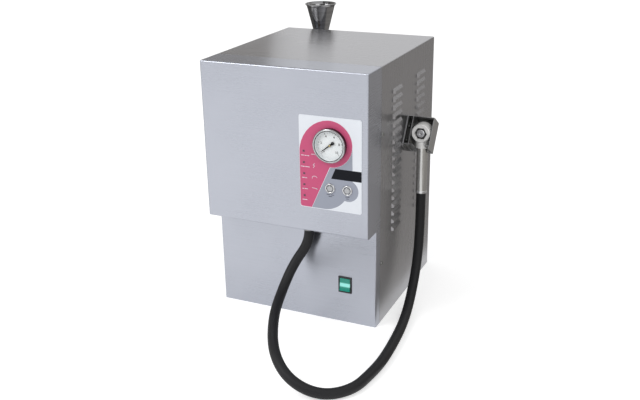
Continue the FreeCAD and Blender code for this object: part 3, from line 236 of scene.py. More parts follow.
lift, farEdge = studio["cardLift"], studio["farEdge"]
mirrorCards = {
    "rightFloorCard": ("greyCard", lying(0.205, farEdge, -0.30, farEdge, lift)),
    "rightFrontFloorCard": ("paleCard", lying(0.6, farEdge, -1.9, -0.30, lift)),
    "backFloorCard": ("darkCard", lying(-2.4, 0.27, 0.62, farEdge, 0.001)),
    "leftFloorCard": ("darkCard", lying(-3.4, -0.6, -0.2, 0.62, lift)),
    "rightWallCard": ("greyCard", standing((2.3, -0.6), (2.3, 3.4), 0, 2.3)),
    "leftWallCard": ("greyCard", standing((-2.3, -0.6), (-2.3, 3.4), 0, 2.3)),
    # keeps the key lamp's own reflection off the funnel's rim
    "lampFlagCard": ("darkCard", lying(-0.85, -0.1, -0.46, 0.05, 1)),
    "cameraSideCard": ("darkCard", standing((-3.2, -3.6), (2.6, -3.6), 1.1, 3.0)),
    "backRightWallCard": ("greyCard", standing((0.25, 3.4), (2.3, 3.4), 0, 1.7)),
    "backLeftCard": ("greyCard", [(-0.66, 1.0, 0.55), (-1.7, 1.0, 0.55), (-1.7, 1.0, 1.5), (-0.68, 1.0, 1.5)]),
}
for cardName, (paintName, corners) in mirrorCards.items():
    studioCard(cardName, corners, cardPaints[paintName])
print("studio ready")

noiseMiddle = {"From Min": 0.3, "From Max": 0.7}  # where nearly all of a noise's values lie


def followPattern(tree, shader, pattern, colours, roughness):
    # colour and roughness both follow one pattern, from the first value to the second
    tone = addNode(tree, "MapRange", inputs={"Value": pattern, **noiseMiddle, "To Min": 0.0, "To Max": 1.0})
    colour = addNode(tree, "Mix", {"data_type": "RGBA"},
                     {0: tone.outputs["Result"], 6: hexColour(colours[0]), 7: hexColour(colours[1])})
    rough = addNode(tree, "MapRange", inputs={"Value": pattern, **noiseMiddle,
                                              "To Min": roughness[0], "To Max": roughness[1]})
    tree.links.new(colour.outputs[2], shader.inputs["Base Color"])
    tree.links.new(rough.outputs["Result"], shader.inputs["Roughness"])


# sheet steel: AISI 304, brushed, soft reflections drawn out across the grain; sizes in mm
sheetLook = {"colour": ("#A5A8B1", "#B0B3BC"), "roughness": (0.24, 0.33), "stretch": 0.72,
             "line": 1.3, "lineLength": 190, "lineDetail": 5.0, "lineRoughness": 0.7, "lineShare": 0.5,
             "cloud": 120, "cloudDetail": 2.0, "cloudShare": 0.5, "relief": 0.005, "reliefStrength": 0.6}


def brushedSteel(name, look, foldedOverTop):
    material, tree, shader = startMaterial(name, look["colour"][1],
                                           {"Metallic": 1.0, "Anisotropic": look["stretch"]})
    spot = addNode(tree, "TexCoord").outputs["Object"]
    part = addNode(tree, "SeparateXYZ", inputs={0: spot})
    if foldedOverTop:
        # the cover is folded over from side to side, so its grain runs round the fold
        acrossGrain = addNode(tree, "CombineXYZ", inputs={"Y": 1.0}).outputs[0]
        alongGrain = addNode(tree, "Math", inputs={0: part.outputs["X"], 1: part.outputs["Z"]}).outputs[0]
    else:
        # the other sheets have level grain, which turns to run from side to side where they lie flat
        facing = addNode(tree, "SeparateXYZ", inputs={0: addNode(tree, "NewGeometry").outputs["Normal"]})
        flatness = addNode(tree, "Math", {"operation": "ABSOLUTE"}, {0: facing.outputs["Z"]})
        acrossGrain = addNode(tree, "CombineXYZ", inputs={"Y": flatness.outputs[0], "Z": 1.0}).outputs[0]
        alongGrain = addNode(tree, "Math", inputs={0: part.outputs["X"], 1: part.outputs["Y"]}).outputs[0]
    tree.links.new(acrossGrain, shader.inputs["Tangent"])
    across = addNode(tree, "VectorMath", {"operation": "DOT_PRODUCT"}, {0: spot, 1: acrossGrain})
    short = addNode(tree, "Math", {"operation": "MULTIPLY"},
                    {0: alongGrain, 1: look["line"] / look["lineLength"]})
    grainSpot = addNode(tree, "CombineXYZ", inputs={"X": across.outputs["Value"], "Y": short.outputs[0]})
    # real brush lines are near 0.1 mm; these are as coarse as they need to be to show
    lines = addNode(tree, "TexNoise", inputs={"Vector": grainSpot.outputs[0], "Scale": perMm(look["line"]),
                                              "Detail": look["lineDetail"], "Roughness": look["lineRoughness"]})
    clouds = addNode(tree, "TexNoise", inputs={"Vector": spot, "Scale": perMm(look["cloud"]),
                                               "Detail": look["cloudDetail"]})
    cloudPart = addNode(tree, "Math", {"operation": "MULTIPLY"},
                        {0: clouds.outputs["Fac"], 1: look["cloudShare"]})
    both = addNode(tree, "Math", {"operation": "MULTIPLY_ADD"},
                   {0: lines.outputs["Fac"], 1: look["lineShare"], 2: cloudPart.outputs[0]})
    followPattern(tree, shader, both.outputs[0], look["colour"], look["roughness"])
    bump = addNode(tree, "Bump", inputs={"Height": lines.outputs["Fac"], "Distance": look["relief"] / 1000,
                                         "Strength": look["reliefStrength"]})
    tree.links.new(bump.outputs[0], shader.inputs["Normal"])
    return material


frontSteel = brushedSteel("brushedSteelFront", sheetLook, False)
coverSteel = brushedSteel("brushedSteelCover", {**sheetLook, "colour": ("#A3A3A6", "#AFAFB2")}, True)
holderSteel = brushedSteel("brushedSteelHolder", {**sheetLook, "colour": ("#A2A2A2", "#B0B0B0"), "line": 0.8,
                                                  "roughness": (0.3, 0.42)}, False)


def speckled(name, colours, roughness, grit, relief, inputs=None, stretch=(1, 1, 1)):
    # one finish whose colour, roughness and relief follow the same grit; grit and relief in mm
    material, tree, shader = startMaterial(name, colours[1], inputs or {})
    spot = addNode(tree, "TexCoord").outputs["Object"]
    drawnOut = addNode(tree, "Mapping", inputs={"Vector": spot, "Scale": stretch})
    noise = addNode(tree, "TexNoise", inputs={"Vector": drawnOut.outputs[0], "Scale": perMm(grit), "Detail": 4.0})
    followPattern(tree, shader, noise.outputs["Fac"], colours, roughness)
    bump = addNode(tree, "Bump", inputs={"Height": noise.outputs["Fac"], "Distance": relief / 1000})
    tree.links.new(bump.outputs[0], shader.inputs["Normal"])
    return material


metal = {"Metallic": 1.0}
finishes = {
    # polished chrome plate on turned and pressed steel: mirror-like, faint polishing marks; the bezel's copy is
    # darker, painted so that its ring reflects less light
    "shadedBezelChrome": speckled("paintedShadeBezelChrome", ("#9C9D9F", "#AFB0B2"), (0.06, 0.12), 3, 0.003, metal),
    "chromePlate": speckled("polishedChromePlate", ("#D2D2D4", "#DEDEDF"), (0.07, 0.13), 3, 0.004, metal,
                            (1, 1, 0.05)),
    # satin chrome on the push buttons' rings and the nozzle's insert
    "satinChrome": speckled("satinChromePlate", ("#BDBEC0", "#D0D0D2"), (0.1, 0.16), 1.5, 0.003, metal),
    # satin nickel on the button caps, duller than the chrome round them
    "satinNickel": speckled("satinNickelPlate", ("#9C9D9F", "#ABACAE"), (0.24, 0.34), 1.0, 0.006, metal),
    # spun stainless steel: rings left by the spinning tool
    "spunSteel": speckled("spunStainlessSteel", ("#868687", "#A2A2A3"), (0.12, 0.2), 4, 0.01, metal,
                          (0.02, 0.02, 1)),
    # stainless handle tube, polished along its length
    "polishedTube": speckled("polishedStainlessTube", ("#B2B2B0", "#C4C4C1"), (0.17, 0.24), 2, 0.006, metal,
                             (1, 1, 0.03)),
    # nickel-plated and bead-blasted nozzle drum: almost white, and soft enough to take light from all round
    "blastedNickel": speckled("blastedNickelPlate", ("#EDECEA", "#F6F5F3"), (0.4, 0.5), 0.8, 0.02,
                              {"Metallic": 0.2}),
    # turned free-cutting steel: fine even tool marks
    "turnedSteel": speckled("turnedSteel", ("#8C8C8D", "#A2A2A2"), (0.25, 0.35), 1, 0.01, metal),
    # zinc-plated screws: a little cloudy
    "zincPlate": speckled("zincPlatedSteel", ("#7F807F", "#9A9B98"), (0.25, 0.4), 1.2, 0.01, metal),
    # drawn stainless tube: soft broad marks
    "drawnTube": speckled("drawnStainlessTube", ("#969593", "#AAA9A6"), (0.22, 0.32), 2, 0.01, metal,
                          (0.2, 0.2, 0.2)),
    # welded and pickled boiler steel: dull, cloudy
    "pickledSteel": speckled("pickledBoilerSteel", ("#7E7D7B", "#9B9A98"), (0.38, 0.55), 18, 0.05, metal),
    # darkened sheath of the heating element
    "heatedSheath": speckled("heatStainedSheath", ("#3A3534", "#554B45"), (0.4, 0.55), 6, 0.02, metal),
    # turned brass of the valves, and the paler plated brass of the pins and the needle's hub
    "brass": speckled("turnedBrass", ("#A98745", "#C7A35C"), (0.22, 0.34), 3, 0.02, metal),
    "pinBrass": speckled("platedPinBrass", ("#AE9F72", "#C2B48A"), (0.2, 0.3), 2, 0.005, metal),
    # black glass-filled nylon: fine moulded grain
    "blackNylon": speckled("mouldedBlackNylon", ("#17181A", "#202224"), (0.42, 0.55), 0.7, 0.03),
    # black enamel on the gauge case: smooth, glossy
    "blackEnamel": speckled("blackEnamel", ("#111112", "#191A1B"), (0.2, 0.3), 3, 0.01),
    # matt white enamel of the dial, and the black that is printed on it
    "dialEnamel": speckled("mattWhiteEnamel", ("#F6FBFD", "#FBFEFF"), (0.45, 0.55), 5, 0.004),
    "needleEnamel": speckled("blackNeedleEnamel", ("#0D0D0E", "#161617"), (0.35, 0.45), 2, 0.004),
    # red powder paint on the valve levers: slight orange peel
    "redPaint": speckled("redPowderPaint", ("#8E1B16", "#A3241D"), (0.3, 0.42), 1.2, 0.05),
    # zinc-passivated sheet of the electrics plate: yellowish clouds
    "passivatedZinc": speckled("passivatedZincSheet", ("#A8A69A", "#BDBCAF"), (0.35, 0.5), 9, 0.02, metal),
    # thermoset casing of the contactor: dull, finely grained
    "greyThermoset": speckled("greyThermoset", ("#3B3D40", "#484A4D"), (0.5, 0.6), 0.9, 0.03),
    # FR4 board under green solder mask
    "solderMask": speckled("greenSolderMask", ("#14502F", "#1B633A"), (0.25, 0.35), 2, 0.01),
    # tinted epoxy lamps, unlit, under a clear gloss
    "tintedEpoxy": speckled("tintedEpoxyLamp", ("#4A2A3C", "#5C3448"), (0.1, 0.16), 1, 0.002,
                            {"Coat Weight": 0.5}),
    # EPDM rubber, extruded: soft even grain with a broad dull sheen
    "hoseRubber": speckled("extrudedEpdmRubber", ("#141416", "#1E1E21"), (0.5, 0.62), 0.9, 0.12,
                           {"Specular IOR Level": 0.32}),
}

# 1.6 mm float glass, seen almost square on
finishes["glass"], tree, shader = startMaterial("floatGlass", "#1C2022", {"Roughness": 0.03, "Alpha": 0.025})
finishes["glass"].surface_render_method = "BLENDED"

# polycarbonate film of the control plate, printed on its underside and with a fine velvet face
filmLook = {"white": "#E8ECF3", "pink": "#C9507A", "grey": "#9A9FAD", "black": "#12141B", "ink": "#3C3F48",
            "plum": "#8C4A6C"}
for shade, colour in filmLook.items():
    finishes["film" + shade.title()] = speckled("velvetFilm" + shade.title(), (colour, colour), (0.38, 0.5),
                                                0.6, 0.01,
                                                {"Specular IOR Level": 0.12 if shade == "black" else 0.5})

# rocker: tinted polycarbonate with a neon lamp glowing behind its middle; heights in metres
rockerLook = {"deep": "#0A584C", "tint": "#1B8876", "glow": "#8CD9D0", "roughness": 0.14, "power": 0.34,
              "middle": 0.0845, "half": 0.0055, "core": 0.35}


def litRocker(look):
    material, tree, shader = startMaterial("tintedPolycarbonate", look["tint"],
                                           {"Roughness": look["roughness"], "Emission Strength": look["power"]})
    part = addNode(tree, "SeparateXYZ", inputs={0: addNode(tree, "TexCoord").outputs["Object"]})
    above = addNode(tree, "Math", {"operation": "SUBTRACT"}, {0: part.outputs["Z"], 1: look["middle"]})
    distance = addNode(tree, "Math", {"operation": "ABSOLUTE"}, {0: above.outputs[0]})
    band = addNode(tree, "MapRange", {"interpolation_type": "SMOOTHSTEP"},
                   {"Value": distance.outputs[0], "From Min": look["half"] * look["core"],
                    "From Max": look["half"], "To Min": 1.0, "To Max": 0.0})
    for shade, socket in (("tint", "Base Color"), ("deep", "Emission Color")):
        mix = addNode(tree, "Mix", {"data_type": "RGBA"},
                      {0: band.outputs[0], 6: hexColour(look[shade]), 7: hexColour(look["glow"])})
        tree.links.new(mix.outputs[2], shader.inputs[socket])
    return material


finishes["rockerGreen"] = litRocker(rockerLook)

nodeFinish = {
    "head_fascia": frontSteel, "lower_front_panel": frontSteel, "back_panel": frontSteel, "base_pan": frontSteel,
    "cover_shell": coverSteel, "holder_bracket": holderSteel, "nozzle_head": finishes["blastedNickel"],
    "handpiece_tube": finishes["polishedTube"], "nozzle_insert": finishes["satinChrome"],
}
slotFinish = {
    "screw_steel": "zincPlate", "overlay_film": "filmWhite", "gauge_chrome": "chromePlate",
    "gauge_black": "blackEnamel", "dial_white": "dialEnamel", "needle_black": "needleEnamel", "gauge_glass": "glass",
    "valve_brass": "brass", "gland_steel": "turnedSteel", "ball_chrome": "chromePlate", "lever_red": "redPaint",
    "button_chrome": "satinChrome", "switch_black": "blackNylon", "lamp_lens": "tintedEpoxy",
    "board_green": "solderMask", "hose_rubber": "hoseRubber", "handpiece_chrome": "chromePlate",
    "nozzle_steel": "turnedSteel", "funnel_steel": "spunSteel", "pipe_steel": "drawnTube",
    "boiler_steel": "pickledSteel", "element_steel": "heatedSheath", "plate_zinc": "passivatedZinc",
    "device_grey": "greyThermoset", "pin_brass": "pinBrass", "rocker_green": "rockerGreen",
}
for part in frame["record"]["subparts"]:
    piece = nodes[part["node"]]
    piece["slotName"] = part["material_slot"]
    piece.data.materials.clear()
    piece.data.materials.append(nodeFinish.get(part["node"]) or finishes[slotFinish[part["material_slot"]]])
hose.data.materials.append(finishes["hoseRubber"])
print("materials on", len(nodes), "nodes")

mm = Matrix.Scale(0.001, 4)
frontward = Matrix.Rotation(math.radians(90), 4, "X")  # turns a shape that grows upwards to grow out of the front
sharpAngle = math.radians(32)  # edges that turn by more stay crisp
plateFace = -0.216  # where the control plate's face is, on Y


def addPiece(name, mesh, body, replaced=()):
    piece = bpy.data.objects.new(name, mesh)
    bpy.context.collection.objects.link(piece)
    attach(piece, body)
    if replaced:
        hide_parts(*replaced)
    return piece


def finishPiece(name, work, move, material, body, replaced=()):
    # turns a bmesh into a piece at its place, smooth but for its edges
    bmesh.ops.transform(work, matrix=move, verts=work.verts)
    bmesh.ops.recalc_face_normals(work, faces=work.faces)
    mesh = meshOfWork(work, name)
    mesh.materials.append(material)
    mesh.shade_smooth()
    mesh.set_sharp_from_angle(angle=sharpAngle)
    addPiece(name, mesh, body, replaced)


def spunWork(profile, steps):
    # a bmesh turned from a line of (radius, height) in mm
    work = bmesh.new()
    verts = [work.verts.new((radius, 0, height)) for radius, height in profile]
    edges = [work.edges.new(pair) for pair in zip(verts, verts[1:])]
    bmesh.ops.spin(work, geom=verts + edges, cent=(0, 0, 0), axis=(0, 0, 1), angle=math.tau, steps=steps,
                   use_merge=True, use_duplicate=False)
    bmesh.ops.remove_doubles(work, verts=work.verts, dist=0.0001)
    return work


def spun(name, profile, steps, move, material, body, replaced=()):
    finishPiece(name, spunWork(profile, steps), move @ mm, material, body, replaced)


def roundedProfile(corners, radius, steps=4):
    # rounds the inner corners of a (radius, height) line so that an edge catches the light
    largest = 0.45  # the most of a side that one rounding takes
    line = [corners[0]]
    for before, corner, after in zip(corners, corners[1:], corners[2:]):
        here, back, ahead = Vector(corner), Vector(before) - Vector(corner), Vector(after) - Vector(corner)
        reach = min(radius, back.length * largest, ahead.length * largest)
        start, stop = here + back.normalized() * reach, here + ahead.normalized() * reach
        for step in range(steps + 1):
            t = step / steps
            line.append(tuple(start * (1 - t) ** 2 + here * 2 * t * (1 - t) + stop * t ** 2))
    return line + [corners[-1]]


# sheet metal, castings and moulded pieces whose CAD shape is right: body, and rounding in mm where they have one
smoothing = {"merge": 0.000002, "flat": 0.4, "segments": 2}
roundedNodes = {
    "holder_bracket": ("cabinet", 0.25), "nozzle_head": ("handpiece", 0.5), "nozzle_insert": ("handpiece", 0.3),
    "handpiece_tube": ("handpiece", 0.0), "rocker_frame": ("cabinet", 0.5), "rocker_actuator": ("rocker", 0.35),
    "fill_valve_lever": ("fill_handle", 0.5), "drain_valve_lever": ("drain_handle", 0.5),
    "cover_shell": ("cabinet", 0.35), "hose_gland": ("cabinet", 0.4), "power_inlet": ("cabinet", 0.6),
    "control_overlay": ("cabinet", 0.0),
}


def dressed(nodeName, body, rounding):
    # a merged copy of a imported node, with its edges rounded as the maker's deburring leaves them
    node = nodes[nodeName]
    mesh = node.data.copy()
    for layer in [a for a in mesh.attributes if a.name == "custom_normal"]:
        mesh.attributes.remove(layer)
    work = bmesh.new()
    work.from_mesh(mesh)
    bmesh.ops.remove_doubles(work, verts=work.verts, dist=smoothing["merge"])
    bmesh.ops.dissolve_limit(work, angle_limit=math.radians(smoothing["flat"]), verts=work.verts, edges=work.edges)
    work.to_mesh(mesh)
    work.free()
    mesh.shade_smooth()
    mesh.set_sharp_from_angle(angle=sharpAngle)
    words = nodeName.split("_")
    name = words[0] + "".join(word.title() for word in words[1:]) + "Dressed"
    mesh.name = name
    piece = addPiece(name, mesh, body, [nodeName])
    if rounding:
        bevel = piece.modifiers.new("rounding", "BEVEL")
        bevel.width = rounding / 1000
        bevel.segments = smoothing["segments"]
        bevel.limit_method = "ANGLE"
        bevel.angle_limit = sharpAngle
        bevel.harden_normals = True
        bevel.use_clamp_overlap = True


for nodeName, (body, rounding) in roundedNodes.items():
    dressed(nodeName, body, rounding)
print("smoothed copies:", len(roundedNodes))

# pressure gauge: crimped bezel, enamelled dial with a plain scale, needle with its counterweight;
# centre in metres, the rest in mm and degrees
gauge = {"x": 0.0996, "z": 0.3925, "steps": 96, "dialAt": 2.06, "firstAngle": 225, "sweep": 270, "numbers": 6,
         "numberStep": 2, "minorSteps": 4, "tickRadius": 25.2, "majorLength": 3.2, "majorWide": 0.75,
         "minorLength": 1.7, "minorWide": 0.4, "numberRadius": 18.4, "numberSize": 6.48, "numberThick": 0.03,
         "numberSwell": 0.08, "needleTurn": 218, "paintThick": 0.06}
# a chrome ring crimped over the front of a black pressed case, a black ring against the glass that paints the shade
# inside the bezel, and a white inner ring round the dial: finish, slot, nodes replaced, rounding, line of (radius,
# height)
gaugeRings = {
    "gaugeBezelRing": ("shadedBezelChrome", "gauge_chrome", ["gauge_bezel"], 0.6,
                       [(32.3, 8.0), (33.1, 8.2), (32.9, 9.3), (31.4, 10.5), (29.7, 10.3), (29.3, 9.5),
                        (32.3, 8.0)]),
    "gaugeBezelCase": ("blackEnamel", "gauge_black", [], 0.3,
                       [(32.1, 0.2), (33.0, 0.2), (33.0, 8.3), (32.1, 8.3), (32.1, 0.2)]),
    # painted shade: a black ring that stands for the shaded inner side of the bezel
    "gaugeShadeRing": ("blackNylon", "gauge_black", [], 0.3,
                    [(29.9, 9.9), (28.9, 9.9), (28.2, 9.36), (29.9, 9.36), (29.9, 9.9)]),
    "gaugeInnerRing": ("dialEnamel", "dial_white", [], 0.3, [(31.9, 2.1), (29.6, 2.1), (31.0, 7.5)]),
}
gaugeMove = Matrix.Translation((gauge["x"], plateFace, gauge["z"])) @ frontward
for ringName, (finish, slot, replaced, rounding, line) in gaugeRings.items():
    spun(ringName, roundedProfile(line, rounding), gauge["steps"], gaugeMove, finishes[finish], "cabinet",
         replaced)


def flatStroke(work, ends, width, height):
    # one painted stroke between two points of the front plane, in mm
    (x1, z1), (x2, z2) = ends
    along = Vector((x2 - x1, z2 - z1))
    size = Matrix.Diagonal((along.length, width, gauge["paintThick"], 1))
    turn = Matrix.Rotation(math.atan2(along.y, along.x), 4, "Z")
    place = Matrix.Translation(((x1 + x2) / 2, (z1 + z2) / 2, height))
    bmesh.ops.create_cube(work, size=1, matrix=place @ turn @ size)


tickWork = bmesh.new()
tickCount = (gauge["numbers"] - 1) * gauge["minorSteps"]
for tick in range(tickCount + 1):
    angle = math.radians(gauge["firstAngle"] - gauge["sweep"] * tick / tickCount)
    direction = Vector((math.cos(angle), math.sin(angle)))
    grade = "minor" if tick % gauge["minorSteps"] else "major"
    inner, outer = gauge["tickRadius"] - gauge[grade + "Length"], gauge["tickRadius"]
    flatStroke(tickWork, (direction * inner, direction * outer), gauge[grade + "Wide"], gauge["dialAt"])
finishPiece("dialTicks", tickWork, gaugeMove @ mm, finishes["needleEnamel"], "cabinet")

numberWork = bmesh.new()
for index in range(gauge["numbers"]):
    angle = math.radians(gauge["firstAngle"] - gauge["sweep"] * index / (gauge["numbers"] - 1))
    figure = bpy.data.curves.new("dialNumber", "FONT")
    figure.body = str(index * gauge["numberStep"])
    figure.size = gauge["numberSize"]
    figure.align_x, figure.align_y = "CENTER", "CENTER"
    figure.extrude = gauge["numberThick"]
    figure.offset = gauge["numberSwell"]
    mesh = meshOfCurve(figure, "dialNumber")
    mesh.transform(Matrix.Translation((math.cos(angle) * gauge["numberRadius"],
                                       math.sin(angle) * gauge["numberRadius"], gauge["dialAt"])))
    numberWork.from_mesh(mesh)
    bpy.data.meshes.remove(mesh)
finishPiece("dialNumbers", numberWork, gaugeMove @ mm, finishes["needleEnamel"], "cabinet")

needle = {"tip": 23.0, "tail": 10.8, "neck": 7.8, "tipHalf": 0.5, "hubHalf": 1.5, "weight": 3.3, "bottom": 3.8,
          "thick": 0.6, "bossRadius": 2.5, "bossHigh": 3.0, "bossMiddle": 3.9,
          "hubLine": [(0, 5.6), (2.0, 5.6), (2.0, 5.0), (0, 5.0)]}
needleWork = bmesh.new()
outline = [(needle["tip"], needle["tipHalf"]), (needle["tip"], -needle["tipHalf"]), (0, -needle["hubHalf"]),
           (-needle["neck"], -needle["hubHalf"]), (-needle["neck"], needle["hubHalf"]), (0, needle["hubHalf"])]
blade = needleWork.faces.new([needleWork.verts.new((x, y, needle["bottom"])) for x, y in outline])
raised = bmesh.ops.extrude_face_region(needleWork, geom=[blade])["geom"]
bmesh.ops.translate(needleWork, vec=(0, 0, needle["thick"]),
                    verts=[vert for vert in raised if isinstance(vert, bmesh.types.BMVert)])
disc = Matrix.Translation((-needle["tail"] + needle["weight"], 0, needle["bottom"] + needle["thick"] / 2))
bmesh.ops.create_cone(needleWork, cap_ends=True, segments=40, radius1=needle["weight"], radius2=needle["weight"],
                      depth=needle["thick"], matrix=disc)
bmesh.ops.create_cone(needleWork, cap_ends=True, segments=32, radius1=needle["bossRadius"],
                      radius2=needle["bossRadius"], depth=needle["bossHigh"],
                      matrix=Matrix.Translation((0, 0, needle["bossMiddle"])))
needleTurn = Matrix.Rotation(math.radians(gauge["needleTurn"]), 4, "Z")
finishPiece("gaugeNeedle", needleWork, gaugeMove @ mm @ needleTurn, finishes["needleEnamel"], "needle",
            ["gauge_needle"])
spun("needleHub", roundedProfile(needle["hubLine"], 0.4), 32, gaugeMove, finishes["pinBrass"], "needle")
print("gauge made")

# push buttons: rolled ring round a domed cap that a fingertip fits; middles in metres
button = {"steps": 64, "spots": ((0.0978, 0.3066), (0.1331, 0.3066)),
          "ring": [(6.9, -2.0), (9.6, -0.4), (10.3, 0.05), (10.3, 0.8), (9.4, 2.1), (8.4, 2.5), (7.4, 1.9),
                   (6.9, 0.9), (6.9, -2.0)],
          "cap": [(0, 2.2), (4.4, 2.1), (5.7, 1.7), (6.1, 1.0), (6.1, -6.0), (0, -6.0)]}
for side, (x, z) in zip(("left", "right"), button["spots"]):
    move = Matrix.Translation((x, plateFace, z)) @ frontward
    spun(side + "ButtonRing", roundedProfile(button["ring"], 0.5), button["steps"], move,
         finishes["satinChrome"], "cabinet", [side + "_button_bezel"])
    spun(side + "ButtonDish", roundedProfile(button["cap"], 0.6), button["steps"], move,
         finishes["satinNickel"], side + "_button", [side + "_button_cap"])

# filling funnel: spun cone with a rolled rim; its axis in metres
funnel = {"axis": (-0.109, 0.210, 0), "steps": 96,
          "line": [(9.0, 502), (10.0, 502), (10.0, 514.6), (11.6, 517.4), (18.0, 524.0), (31.9, 578.2),
                   (34.2, 581.6), (35.9, 582.4), (35.95, 583.5), (35.1, 584), (34.0, 583.9), (33.2, 582.2),
                   (30.9, 578.0), (17.0, 524.6), (10.6, 518.2), (9.0, 515.0), (9.0, 502)]}
spun("fillFunnelSpun", roundedProfile(funnel["line"], 1.0, 3), funnel["steps"],
     Matrix.Translation(funnel["axis"]), finishes["spunSteel"], "cabinet", ["fill_funnel"])

# hose ferrule: crimped rings over the end of the hose
ferrule = {"place": hoseRoute[-1], "steps": 64,
           "line": [(0, 0), (10.4, 0.0), (11.4, 0.3), (11.9, 0.9), (11.9, 1.5), (11.2, 1.9), (11.9, 2.3),
                    (11.9, 3.1), (11.2, 3.5), (11.9, 3.9), (11.9, 5.2), (11.3, 5.9), (0, 6.0)]}
spun("hoseFerruleCrimped", ferrule["line"], ferrule["steps"], Matrix.Translation(ferrule["place"]),
     finishes["chromePlate"], "handpiece", ["hose_ferrule"])
print("buttons, funnel and ferrule made")

# cover screws: pan heads with a pressed cross, in mm; their places in metres
screw = {"line": [(0, 2.4), (2.6, 2.328), (3.9, 1.728), (4.5, 0.72), (4.5, 0), (0, 0)], "steps": 40, "top": 2.4,
         "slotWide": 1.1, "slotLong": 5.2, "slotDeep": 1.3, "slotTurn": 20, "side": 0.175, "y": -0.1415,
         "heights": (0.132, 0.401)}
headWork = spunWork(roundedProfile(screw["line"], 0.4), screw["steps"])
bmesh.ops.recalc_face_normals(headWork, faces=headWork.faces)
crossWork = bmesh.new()
for turn in (0, 90):
    bmesh.ops.create_cube(crossWork, size=1, matrix=(
        Matrix.Rotation(math.radians(turn + screw["slotTurn"]), 4, "Z") @ Matrix.Translation((0, 0, screw["top"]))
        @ Matrix.Diagonal((screw["slotLong"], screw["slotWide"], 2 * screw["slotDeep"], 1))))
headHolder = bpy.data.objects.new("screwHead", meshOfWork(headWork, "screwHead"))
crossHolder = bpy.data.objects.new("screwCross", meshOfWork(crossWork, "screwCross"))
for holder in (headHolder, crossHolder):
    bpy.context.collection.objects.link(holder)
pressed = headHolder.modifiers.new("cross", "BOOLEAN")
pressed.operation = "DIFFERENCE"
pressed.object = crossHolder
pressed.use_self = True
bpy.context.view_layer.update()
pressedMesh = bpy.data.meshes.new_from_object(headHolder.evaluated_get(bpy.context.evaluated_depsgraph_get()))
for holder in (headHolder, crossHolder):
    bpy.data.objects.remove(holder)

screwWork = bmesh.new()
for side in (1, -1):
    outward = Matrix.Rotation(math.radians(90 * side), 4, "Y")
    for height in screw["heights"]:
        mesh = pressedMesh.copy()
        mesh.transform(Matrix.Translation((side * screw["side"], screw["y"], height)) @ outward @ mm)
        screwWork.from_mesh(mesh)
        bpy.data.meshes.remove(mesh)
finishPiece("coverScrewHeads", screwWork, Matrix(), finishes["zincPlate"], "cabinet",
            ["cover_screws"])
print("screws made")

# control plate: the edges of its print, its lamps and the round field behind the gauge, in metres
plate = {"leftEdge": 0.0354, "lowEdge": 0.2631, "corner": 0.004, "print": 0.00004, "fieldCentre": (0.0978, 0.3937),
         "pinkRadius": 0.0455, "greyRadius": 0.0459, "lampX": 0.044, "lampTop": 0.375, "lampStep": 0.0224}


def outlinePiece(name, outline, height, material, body="cabinet"):
    # a thin flat shape whose loops are drawn in X and Z, at its place on Y
    curve = bpy.data.curves.new(name, "CURVE")
    curve.dimensions = "2D"
    curve.fill_mode = "BOTH"
    for loop in outline:
        spline = curve.splines.new("POLY")
        spline.points.add(len(loop) - 1)
        for spot, (across, up) in zip(spline.points, loop):
            spot.co = (across, up, 0, 1)
        spline.use_cyclic_u = True
    curve.extrude = plate["print"] / 2
    mesh = meshOfCurve(curve, name)
    mesh.transform(Matrix.Translation((0, height, 0)) @ frontward)
    mesh.materials.clear()
    mesh.materials.append(material)
    addPiece(name, mesh, body)


def arcPoints(centre, radius, start, stop, steps):
    spots = []
    for step in range(steps + 1):
        angle = math.radians(start + (stop - start) * step / steps)
        spots.append((centre[0] + radius * math.cos(angle), centre[1] + radius * math.sin(angle)))
    return spots


leftEdge, lowEdge, corner = plate["leftEdge"], plate["lowEdge"], plate["corner"]
# finish, how many layers of print up, and the outline
printed = {
    "pinkPrint": ("filmPink", 0.5, arcPoints(plate["fieldCentre"], plate["pinkRadius"], -84, 96, 60) + [
        (0.0838, 0.4373), (0.0745, 0.4339), (0.0655, 0.4290), (0.0570, 0.4223), (0.0495, 0.4140),
        (0.0435, 0.4047), (0.0390, 0.3945), (0.0362, 0.3838), (leftEdge, 0.3770),
        (leftEdge, lowEdge + corner), (leftEdge + corner * 0.3, lowEdge + corner * 0.3),
        (leftEdge + corner, lowEdge), (0.0590, lowEdge), (0.0975, 0.3482)]),
    "greyPrint": ("filmGrey", 0.5, [(0.0596, lowEdge), (0.0981, 0.3474)]
                  + arcPoints(plate["fieldCentre"], plate["greyRadius"], -82, -6, 30)
                  + [(0.1437, 0.3470), (0.1437, 0.3250)] + arcPoints((0.134, 0.306), 0.0215, 62, -108, 40)
                  + arcPoints((0.084, 0.316), 0.053, -35.3, -88, 30)),
    "bareBar": ("filmBlack", 1.6, [(0.1089, 0.3470), (0.1618, 0.3470), (0.1618, 0.3263), (0.1002, 0.3263)]),
}
for printName, (finish, layers, outline) in printed.items():
    outlinePiece(printName, [outline], plateFace - plate["print"] * layers, finishes[finish])

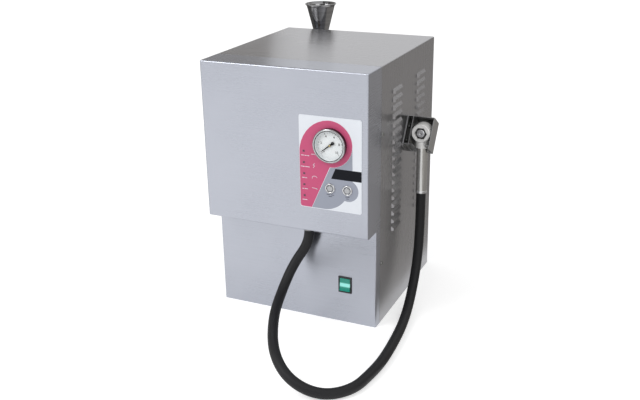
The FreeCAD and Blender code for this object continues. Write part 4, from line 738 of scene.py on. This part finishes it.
# marks beside the lamps and under the buttons, in mm: dashes, a wave, a zigzag, a tap shape and an arrow
marks = {"lift": 0.08, "windowOut": 1.6, "windowHalf": 2.2, "windowWide": 1.4, "dashDrop": 8.6, "dashHigh": 1.15,
         "iconDrop": 5.4, "iconStroke": 0.75, "underHigh": 1.2,
         "dashes": (((38.5, 44.5), (46.0, 50.2), (51.4, 55.5)), ((37.5, 45.5), (46.8, 56.0)),
                    ((39.5, 45.0), (46.2, 50.0)), ((39.5, 43.0), (44.4, 51.0)), ((39.5, 49.5),)),
         "icons": (((60, 0), (61.5, 1.6), (63.5, 0), (65.5, 1.6), (67.5, 0), (69, 1.0)),
                   ((66.5, 5.5), (63.0, 1.2), (66.5, 0.4), (63.2, -3.8)),
                   ((60.5, -3.4), (61.5, 0.6), (65.0, 2.4), (69.5, 1.6), (71.0, -0.6)),
                   ((60, 0.8), (72, -0.4), (69.6, 1.0), (72, -0.4), (69.6, -1.8)), ()),
         "under": (((90.5, 98.0, -12.6), (99.2, 106.0, -12.9), (94.5, 102.0, -16.2)),
                   ((129.0, 137.5, -13.0), (130.5, 136.0, -16.6)))}
whiteWork, inkWork, windowWork = bmesh.new(), bmesh.new(), bmesh.new()
for row, (dashes, icon) in enumerate(zip(marks["dashes"], marks["icons"])):
    lampX, lampZ = plate["lampX"] * 1000, (plate["lampTop"] - plate["lampStep"] * row) * 1000
    for side in (-1, 1):
        # two halves of a dark window, one each side of the lamp
        x = lampX + side * marks["windowOut"]
        ends = ((x, lampZ + marks["windowHalf"]), (x, lampZ - marks["windowHalf"]))
        flatStroke(windowWork, ends, marks["windowWide"], marks["lift"])
    for start, stop in dashes:
        z = lampZ - marks["dashDrop"]
        flatStroke(whiteWork, ((start, z), (stop, z)), marks["dashHigh"], marks["lift"])
    line = [(x, lampZ - marks["iconDrop"] + up) for x, up in icon]
    for ends in zip(line, line[1:]):
        flatStroke(whiteWork, ends, marks["iconStroke"], marks["lift"])
for dashes, spot in zip(marks["under"], button["spots"]):
    for start, stop, up in dashes:
        z = spot[1] * 1000 + up
        flatStroke(inkWork, ((start, z), (stop, z)), marks["underHigh"], marks["lift"])
plateMove = Matrix.Translation((0, plateFace, 0)) @ frontward @ mm
finishPiece("whiteMarks", whiteWork, plateMove, finishes["filmWhite"], "cabinet")
finishPiece("lampWindows", windowWork, plateMove, finishes["filmPlum"], "cabinet")
finishPiece("darkMarks", inkWork, plateMove, finishes["filmInk"], "cabinet")
print("control plate printed")

# a dark flat ring at the bottom of the nozzle's hex socket: painted shade, a dark line round the insert
seal = {"centre": (0.2085, 0.3695), "face": -0.0094, "edges": ((0.0129, 6), (0.0084, 48))}
outlinePiece("nozzleSeal", [arcPoints(seal["centre"], radius, 0, 360 - 360 / sides, sides - 1)
                            for radius, sides in seal["edges"]],
             seal["face"], finishes["blackNylon"], "handpiece")

print("scene ready")
